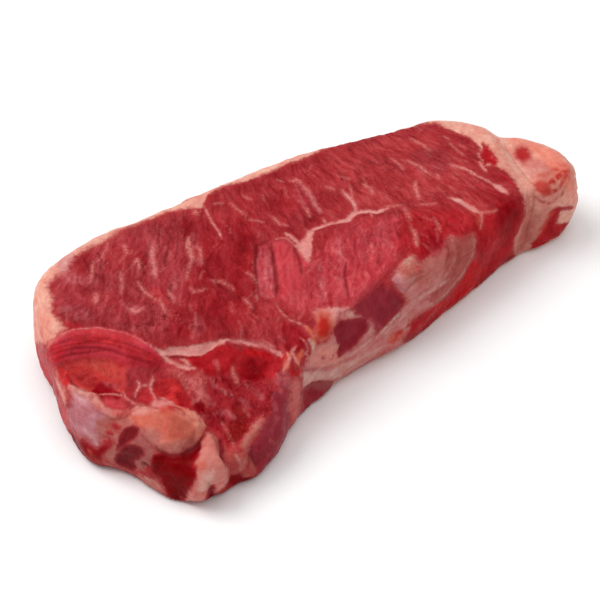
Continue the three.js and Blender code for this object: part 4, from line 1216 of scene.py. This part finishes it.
def fat_depth(skin):
    """How deep each point is in fat, in mm, negative in the lean."""
    soft_from, soft_to = CAP_SOFT
    softness = 1.0 + CAP_SOFTNESS * smooth(-skin.pixels[:, 0], -soft_to, -soft_from)
    depth = skin.inside(CAP_LINE + CAP_OUTSIDE) / softness
    for _, _, softness, edge in FAT_AREAS:
        depth = np.maximum(depth, skin.inside(edge) / softness)
    for _, _, edge in LEAN_AREAS:
        depth = np.minimum(depth, -skin.inside(edge))
    hidden = hidden_fat(skin)
    depth = hidden + (depth - hidden) * skin.seen
    depth = np.maximum(depth, skin.drawn_depth(FAT_STROKES))
    return np.minimum(depth, -skin.drawn_depth(LEAN_STROKES))


def streak_depth(skin, fat, row):
    """Depth inside random streaks along the grain, in the eye and on the underside, in mm."""
    depth = np.full(len(skin.points), -FAR)
    random = np.random.default_rng(row.seed)
    eye = skin.inside(LOBE) < -2.0
    top = np.nonzero((skin.normals[:, 2] > 0.85) & (fat < -1.0) & eye)[0]
    under = np.nonzero((skin.normals[:, 2] < -0.85) & (fat < -1.0))[0]
    for index in np.concatenate([random.choice(part, row.number) for part in (top, under)]):
        centre = skin.points[index]
        grain = FRONT_GRAIN if skin.front[index] > 0.5 else GRAIN_CENTRE - centre[:2]
        grain = grain / np.linalg.norm(grain)
        across = np.array([-grain[1], grain[0]])
        angle = random.normal(0.0, row.turn)
        heading = grain * math.cos(angle) + across * math.sin(angle)
        length = random.uniform(*row.lengths)
        bends = across * random.normal(0.0, 0.06, (4, 1)) * length
        way = centre[:2] + heading * np.linspace(-0.5, 0.5, 4)[:, None] * length + bends
        near, gap, along = skin.distance(way, 1.6, flat=True)
        same_side = abs(skin.points[near, 2] - centre[2]) < 4.0
        near, gap, along = near[same_side], gap[same_side], along[same_side]
        inside = random.uniform(*row.half_widths) * taper(along) - gap
        depth[near] = np.maximum(depth[near], inside)
    return depth


def wall_depth(skin, fat, row):
    """Depth inside random level lines on the fat that the camera doesn't see, in mm."""
    depth = np.full(len(skin.points), -FAR)
    random = np.random.default_rng(row.seed)
    wall = np.nonzero((abs(skin.normals[:, 2]) < 0.8) & (fat > 0.5) & (skin.seen < 0.5))[0]
    for index in random.choice(wall, row.number):
        level = np.cross(skin.normals[index], (0.0, 0.0, 1.0))
        steps = np.linspace(-0.5, 0.5, 9)[:, None] * random.uniform(*row.lengths)
        drops = np.cumsum(random.normal(0.0, 0.9, 9))[:, None] * np.array([0.0, 0.0, 1.0])
        guide = skin.points[index] + level * steps + drops
        way = np.array([skin.tree.find_nearest(Vector(point))[0] for point in guide])
        near, gap, along = skin.distance(way, 2.4)
        inside = random.uniform(*row.half_widths) * taper(along) - gap
        depth[near] = np.maximum(depth[near], inside)
    return depth


def blend(colours, target, share):
    """Moves each point's colour towards a target by its share."""
    colours += (target - colours) * share[:, None]


def tinted(skin, base, patches):
    """One colour for each point: the base colour with soft patches and soft lines over it."""
    colours = np.tile(linear(base), (len(skin.points), 1))
    for _, colour, strength, softness, edge in patches:
        share = smooth(skin.inside(edge), -softness * 0.5, softness * 0.5) * strength * skin.seen
        blend(colours, linear(COLOURS[colour]), share)
    for name, colour, strength, half_width, pixels in LINES:
        near, inside = skin.stroke_depth(name, half_width, pixels)
        share = smooth(inside, -0.5 - 0.5 * half_width, 0.6 * half_width) * strength
        share = (share * skin.patchy[near])[:, None]
        colours[near] += (linear(COLOURS[colour]) - colours[near]) * share
    return colours


def lean_colours(skin, streaks):
    """The lean's colours, with pale and dark streaks along its fibres."""
    patches = [(name, colour, 1.0, LEAN_SOFTNESS, edge) for name, colour, edge in LEAN_AREAS]
    colours = tinted(skin, COLOURS["meat"], LEAN_TINTS + patches)
    for row, depth in zip(STREAKS, streaks):
        blend(colours, colours * row.tone, smooth(depth, -0.7, 0.4) * row.strength)
    return np.maximum(colours - HAZE, 0.001)


def fat_colours(skin, wall_lines):
    """The fat's colours: pinker in the thin seams than in the cap."""
    patches = [(name, colour, 1.0, softness, edge) for name, colour, softness, edge in FAT_AREAS]
    colours = tinted(skin, COLOURS["fat"], patches + FAT_TINTS)
    for row, depth in zip(WALL_LINES, wall_lines):
        share = smooth(depth, -0.6, 0.3) * row.strength * skin.patchy
        blend(colours, linear(COLOURS[row.colour]), share)
    blend(colours, linear(COLOURS["seam"]), smooth(skin.drawn_depth(FAT_STROKES), -0.6, 0.0))
    return FAT_GAIN * colours


def relief(skin, streaks, wall_lines):
    """How far each point moves out along its normal, in mm."""
    heights = np.zeros(len(skin.points))
    for name, height, reach in STROKE_RELIEF:
        near, gap, along = skin.distance(skin.ways[name], reach * 2.5)
        ends = smooth(np.minimum(along, 1.0 - along), -0.05, 0.12)
        heights[near] += height * np.exp(-((gap / reach) ** 2)) * ends
    for name, height, reach in AREA_RELIEF:
        heights += height * smooth(skin.inside(EDGES[name]), -0.5, reach) * skin.seen
    for row, depth in zip(STREAKS, streaks):
        heights += row.height * smooth(depth, -0.5, 0.3)
    for row, depth in zip(WALL_LINES, wall_lines):
        heights += row.height * smooth(depth, -1.4, 0.3)
    heights += unevenness(skin)
    # The foot of the skin stays on the table.
    return heights * smooth(skin.points[:, 2], 0.3, 2.5)


def unevenness(skin):
    """Random heights in mm: bundles of fibres on the eye, and ripples elsewhere."""
    hidden_wall = (1.0 - skin.seen) * smooth(-abs(skin.normals[:, 2]), -0.9, -0.5)
    rough = 1.0 - 0.85 * skin.fibrous
    crumbly = smooth(skin.detail, 1.0, 1.6)
    # Height, weight, size of the waves, and which of their three directions.
    ripples = [
        (0.7, hidden_wall, 15.0, 0),
        (0.45, rough, 7.0, 2),
        (0.3, rough, 3.0, 2),
        (0.12, 1.0, 5.0, 0),
        (0.3, crumbly, 1.6, 0),
    ]
    bundles = np.array([noise.noise(Vector(p)) for p in skin.grain * (0.26, 0.06, 0.1)])
    heights = 0.35 * (1.0 - rough) * bundles
    for height, weight, size, way in ripples:
        heights += height * weight * skin.ripple(size)[:, way]
    return heights


def add_numbers(mesh, name, kind, values):
    """Stores one number, vector or colour for each point of the mesh."""
    attribute = mesh.attributes.new(name, kind, "POINT")
    field = {"FLOAT": "value", "FLOAT_VECTOR": "vector", "FLOAT_COLOR": "color"}[kind]
    attribute.data.foreach_set(field, np.ascontiguousarray(values, dtype=np.float32).ravel())


def add_colours(mesh, name, colours):
    opaque = np.ones((len(colours), 1))
    add_numbers(mesh, name, "FLOAT_COLOR", np.hstack([colours, opaque]))


def paint(skin):
    """Stores the painted layers on the mesh, then moves its points by the relief."""
    fat = fat_depth(skin)
    streaks = [streak_depth(skin, fat, row) for row in STREAKS]
    wall_lines = [wall_depth(skin, fat, row) for row in WALL_LINES]
    # How deep each point is in a crease, where shade is painted.
    dark = skin.drawn_depth(CREASE_SHADE_STROKES)
    flecks = np.maximum(streak_depth(skin, fat, FLECKS), skin.drawn_depth(FLECK_STROKES))
    mesh = skin.mesh
    add_numbers(mesh, "fat_depth", "FLOAT", np.clip(fat, -FAR, FAR))
    add_numbers(mesh, "fleck_depth", "FLOAT", flecks)
    add_numbers(mesh, "crease_shade_depth", "FLOAT", np.clip(dark, -FAR, FAR))
    add_colours(mesh, "lean_colour", lean_colours(skin, streaks))
    add_colours(mesh, "fat_colour", fat_colours(skin, wall_lines))
    add_numbers(mesh, "fibrous", "FLOAT", skin.fibrous)
    add_numbers(mesh, "detail", "FLOAT", skin.detail)
    add_numbers(mesh, "grain", "FLOAT_VECTOR", skin.grain)
    moved = skin.points + skin.normals * relief(skin, streaks, wall_lines)[:, None]
    mesh.vertices.foreach_set("co", (moved * MM).ravel())
    mesh.update()


class Shader:
    """Short calls that add nodes to one material."""

    def __init__(self, name):
        self.material = bpy.data.materials.new(name)
        self.material.use_nodes = True
        self.tree = self.material.node_tree
        self.tree.nodes.clear()

    def add(self, kind, **settings):
        node = self.tree.nodes.new(kind)
        for name, value in settings.items():
            setattr(node, name, value)
        return node

    def put(self, socket, value):
        if isinstance(value, bpy.types.NodeSocket):
            self.tree.links.new(value, socket)
        else:
            socket.default_value = value

    def with_surface(self, bsdf):
        self.put(self.add("ShaderNodeOutputMaterial").inputs["Surface"], bsdf.outputs[0])
        return self.material

    def attribute(self, name, output="Fac"):
        return self.add("ShaderNodeAttribute", attribute_name=name).outputs[output]

    def math(self, operation, first, second=0.0):
        node = self.add("ShaderNodeMath", operation=operation)
        self.put(node.inputs[0], first)
        self.put(node.inputs[1], second)
        return node.outputs[0]

    def plus(self, first, second):
        return self.math("ADD", first, second)

    def minus(self, first, second):
        return self.math("SUBTRACT", first, second)

    def times(self, first, second):
        return self.math("MULTIPLY", first, second)

    def at_most(self, value, limit):
        return self.math("MINIMUM", value, limit)

    def vector(self, operation, first, second):
        node = self.add("ShaderNodeVectorMath", operation=operation)
        self.put(node.inputs[0], first)
        self.put(node.inputs[1], second)
        return node.outputs[0]

    def scaled(self, vector, factors):
        return self.vector("MULTIPLY", vector, factors)

    def added(self, vector, other):
        return self.vector("ADD", vector, other)

    def noise(self, vector, detail=2.0, roughness=0.5, output="Fac"):
        node = self.add("ShaderNodeTexNoise")
        self.put(node.inputs["Vector"], vector)
        self.put(node.inputs["Scale"], 1.0)
        self.put(node.inputs["Detail"], detail)
        self.put(node.inputs["Roughness"], roughness)
        return node.outputs[output]

    def cells(self, vector):
        """Distance to the edge of cells about one unit wide."""
        node = self.add("ShaderNodeTexVoronoi", feature="DISTANCE_TO_EDGE")
        self.put(node.inputs["Vector"], vector)
        self.put(node.inputs["Scale"], 1.0)
        return node.outputs["Distance"]

    def step(self, value, low, high, to_low=0.0, to_high=1.0):
        node = self.add("ShaderNodeMapRange", interpolation_type="SMOOTHSTEP")
        self.put(node.inputs["Value"], value)
        for socket, number in zip(node.inputs[1:5], (low, high, to_low, to_high)):
            self.put(socket, number)
        return node.outputs["Result"]

    def thin_lines(self, pattern, middle, half_width):
        """1 along the lines where a pattern has its middle value, and 0 away from them."""
        away = self.math("ABSOLUTE", self.minus(pattern, middle))
        return self.step(away, half_width, 0.0)

    def mix(self, share, first, second):
        node = self.add("ShaderNodeMix", data_type="RGBA", blend_type="MIX")
        self.put(node.inputs[0], share)
        self.put(node.inputs[6], first)
        self.put(node.inputs[7], second)
        return node.outputs[2]


class Beef(Shader):
    """Moist raw beef: fibrous lean, waxy fat with noisy edges, painted shade in the creases."""

    def __init__(self):
        super().__init__("raw_beef")
        self.patterns = self.noise_patterns()
        self.weights = self.painted_weights()
        self.wander = self.edge_wander()
        self.depth = self.plus(self.attribute("fat_depth"), self.wander)
        self.patterns["depth"] = self.depth

    def noise_patterns(self):
        """The noise of the table, over the place on the steak or along its swaying fibres."""
        place = self.add("ShaderNodeTexCoord").outputs["Object"]
        place = self.scaled(place, (1 / MM, 1 / MM, 1 / MM))
        sway = self.noise(self.scaled(place, (0.05, 0.05, 0.05)), output="Color")
        wiggle = self.noise(self.scaled(place, (0.3, 0.3, 0.3)), output="Color")
        fibres = self.attribute("grain", "Vector")
        fibres = self.added(fibres, self.scaled(sway, (16.0, 16.0, 16.0)))
        fibres = self.added(fibres, self.scaled(wiggle, (1.7, 1.7, 1.7)))
        uneven = self.added(place, self.scaled(wiggle, (3.0, 3.0, 3.0)))
        spaces = {"place": place, "fibres": fibres, "uneven place": uneven}
        patterns = {}
        for name, space, waves, detail, roughness in PATTERNS:
            patterns[name] = self.noise(self.scaled(spaces[space], waves), detail, roughness)
        patterns["gaps"] = self.thin_lines(patterns["gaps"], 0.5, 0.035)
        patterns["films"] = self.thin_lines(patterns["films"], 0.47, 0.03)
        net = self.cells(self.scaled(uneven, (0.75, 0.75, 0.75)))
        patterns["net"] = self.step(net, 0.16, 0.02)
        return patterns

    def painted_weights(self):
        """How strong a pattern is at each place, by the name of the weight."""
        fibrous = self.attribute("fibrous")
        detail = self.attribute("detail")
        return {
            "all": 1.0,
            "fibrous": fibrous,
            "plain": self.minus(1.0, fibrous),
            "detail": detail,
            "calm": self.at_most(detail, 1.0),
            "crumbly": self.step(detail, 1.0, 1.5),
        }

    def edge_wander(self):
        """How far the painted edges wander, in mm."""
        coarse = self.times(self.minus(self.patterns["edge"], 0.5), 1.1)
        fine = self.times(self.minus(self.patterns["fine edge"], 0.5), 0.25)
        return self.plus(coarse, fine)

    def total(self, start, rows):
        """A value with what each row of a table adds to it."""
        for name, low, high, strength, weight in rows:
            step = self.step(self.patterns[name], low, high, 0.0, strength)
            start = self.plus(start, self.times(step, self.weights[weight]))
        return start

    def lean(self):
        """The lean's colour: light and dark fibres, crumbs and films, flecks, pale edges."""
        weights = self.weights
        patterns = self.patterns
        lean = self.attribute("lean_colour", "Color")
        light = self.added(self.scaled(lean, (1.25, 2.3, 2.0)), (0.02, 0.008, 0.008))
        dark = self.scaled(lean, (0.52, 0.42, 0.45))
        # The crumbly net is brighter in patches: painted wet highlights on pale films.
        wet_net = self.step(patterns["sheen_and_tone"], 0.42, 0.6, 0.15, 0.5)
        net = self.times(self.times(patterns["net"], weights["crumbly"]), wet_net)
        lighter = self.times(self.total(net, LIGHTER), weights["detail"])
        # The gaps between bundles are darker: painted shade in them.
        gaps = self.times(patterns["gaps"], self.times(weights["fibrous"], 0.2))
        darker = self.times(self.total(gaps, DARKER), weights["calm"])
        films = self.times(patterns["films"], self.times(weights["detail"], 0.3))
        lean = self.mix(self.at_most(lighter, 1.0), lean, light)
        lean = self.mix(self.at_most(darker, 0.95), lean, dark)
        lean = self.mix(films, lean, light)
        lean = self.mix(self.fleck_share(), lean, rgba(COLOURS["fleck"]))
        near_fat = self.times(self.step(self.depth, -1.3, 0.2, 0.0, 0.4), weights["calm"])
        return self.mix(near_fat, lean, light)

    def fleck_share(self):
        """How much of a fleck's colour shows: little round it, more in it, less in gritty spots."""
        fleck = self.plus(self.attribute("fleck_depth"), self.wander)
        share = self.plus(self.step(fleck, -1.0, 0.4, 0.0, 0.3), self.step(fleck, -0.1, 0.7, 0.0, 0.4))
        return self.times(share, self.step(self.patterns["grit"], 0.4, 0.56, 0.4, 1.1))

    def fat(self):
        fat = self.attribute("fat_colour", "Color")
        for name, low, high, share, tone in FAT_TONES:
            share = self.step(self.patterns[name], low, high, 0.0, share)
            fat = self.mix(share, fat, self.scaled(fat, tone))
        return fat

    def fat_share(self):
        """How much fat covers the lean: thin at its crumbly edges, with holes where it is gritty."""
        body = self.plus(self.patterns["crumbs"], self.times(self.depth, 0.2))
        cover = self.step(body, 0.36, 0.62, 0.45, 1.0)
        share = self.times(self.step(self.depth, -0.3, 0.85), cover)
        gritty = self.step(self.patterns["grit"], 0.5, 0.4, 0.0, 0.6)
        holes = self.times(gritty, self.weights["crumbly"])
        return self.times(share, self.minus(1.0, holes))

    def crease_shade_share(self, fat_share):
        """How much painted shade darkens the creases, less so in fat."""
        crease = self.plus(self.attribute("crease_shade_depth"), self.times(self.wander, 0.6))
        share = self.step(crease, -0.55, 0.5, 0.0, 0.6)
        return self.times(share, self.minus(1.0, self.times(fat_share, 0.4)))

    def heights(self, start, rows):
        """A value with a share of each pattern of a table added to it."""
        for name, share in rows:
            start = self.plus(start, self.times(self.patterns[name], share))
        return start

    def bump(self, fat_share, crease_shade_share):
        """The normal with the small unevenness of lean, fat and creases."""
        lean = self.heights(self.times(self.patterns["gaps"], -0.3), LEAN_HEIGHTS)
        level = self.add("ShaderNodeMix", data_type="FLOAT")
        self.put(level.inputs[0], fat_share)
        self.put(level.inputs[2], lean)
        self.put(level.inputs[3], self.heights(0.0, FAT_HEIGHTS))
        height = self.minus(level.outputs[0], self.times(crease_shade_share, 0.6))
        bump = self.add("ShaderNodeBump")
        bump.inputs["Strength"].default_value = 0.45
        bump.inputs["Distance"].default_value = 0.6 * MM
        self.put(bump.inputs["Height"], height)
        return bump.outputs["Normal"]


def steak_material():
    beef = Beef()
    fat_share = beef.fat_share()
    crease_shade_share = beef.crease_shade_share(fat_share)
    colour = beef.mix(fat_share, beef.lean(), beef.fat())
    # Painted shade in the creases.
    colour = beef.mix(crease_shade_share, colour, rgba(COLOURS["crease"]))
    bsdf = beef.add("ShaderNodeBsdfPrincipled")
    beef.put(bsdf.inputs["Base Color"], colour)
    beef.put(bsdf.inputs["Roughness"], beef.step(beef.patterns["shine"], 0.3, 0.7, 0.22, 0.4))
    bsdf.inputs["Specular IOR Level"].default_value = 0.025
    bsdf.inputs["Subsurface Weight"].default_value = 0.12
    bsdf.inputs["Subsurface Radius"].default_value = (1.0, 0.35, 0.25)
    bsdf.inputs["Subsurface Scale"].default_value = 1.2 * MM
    beef.put(bsdf.inputs["Normal"], beef.bump(fat_share, crease_shade_share))
    return beef.with_surface(bsdf)


def add_floor():
    """A wide white table top, which isn't part of the steak."""
    size = 3.0
    mesh = bpy.data.meshes.new("floor")
    corners = [(-size, -size, 0), (size, -size, 0), (size, size, 0), (-size, size, 0)]
    mesh.from_pydata(corners, [], [(0, 1, 2, 3)])
    floor = bpy.data.objects.new("floor", mesh)
    bpy.context.collection.objects.link(floor)
    white = Shader("white_table")
    bsdf = white.add("ShaderNodeBsdfPrincipled")
    bsdf.inputs["Base Color"].default_value = (0.96, 0.96, 0.96, 1.0)
    bsdf.inputs["Roughness"].default_value = 0.9
    bsdf.inputs["Specular IOR Level"].default_value = 0.1
    mesh.materials.append(white.with_surface(bsdf))


def add_light(name, place, size, power):
    """A square soft light that looks at the steak."""
    data = bpy.data.lights.new(name, "AREA")
    data.shape = "SQUARE"
    data.size = size
    data.energy = power
    light = bpy.data.objects.new(name, data)
    light.location = Vector(place)
    light.rotation_euler = (-Vector(place)).to_track_quat("-Z", "Y").to_euler()
    bpy.context.collection.objects.link(light)


def add_lights():
    """A white room with two soft lights, in metres and watts."""
    world = bpy.data.worlds.new("studio")
    world.use_nodes = True
    background = world.node_tree.nodes["Background"]
    background.inputs["Color"].default_value = (1.0, 1.0, 1.0, 1.0)
    background.inputs["Strength"].default_value = 0.42
    bpy.context.scene.world = world
    add_light("key", (-0.75, 0.75, 1.5), 1.2, 22.0)
    add_light("top", (0.2, -0.3, 1.8), 1.6, 11.0)
    bpy.context.scene.view_settings.view_transform = "Standard"
    bpy.context.scene.view_settings.look = "None"


def main():
    noise.seed_set(NOISE_SEED)
    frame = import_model()
    view = View()
    add_camera(view)
    add_lights()
    add_floor()
    skin = skin_object(frame["nodes"]["steak"], view)
    paint(Skin(skin.data, view))
    skin.data.materials.append(steak_material())
    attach(skin, "root")
    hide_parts("steak")


main()
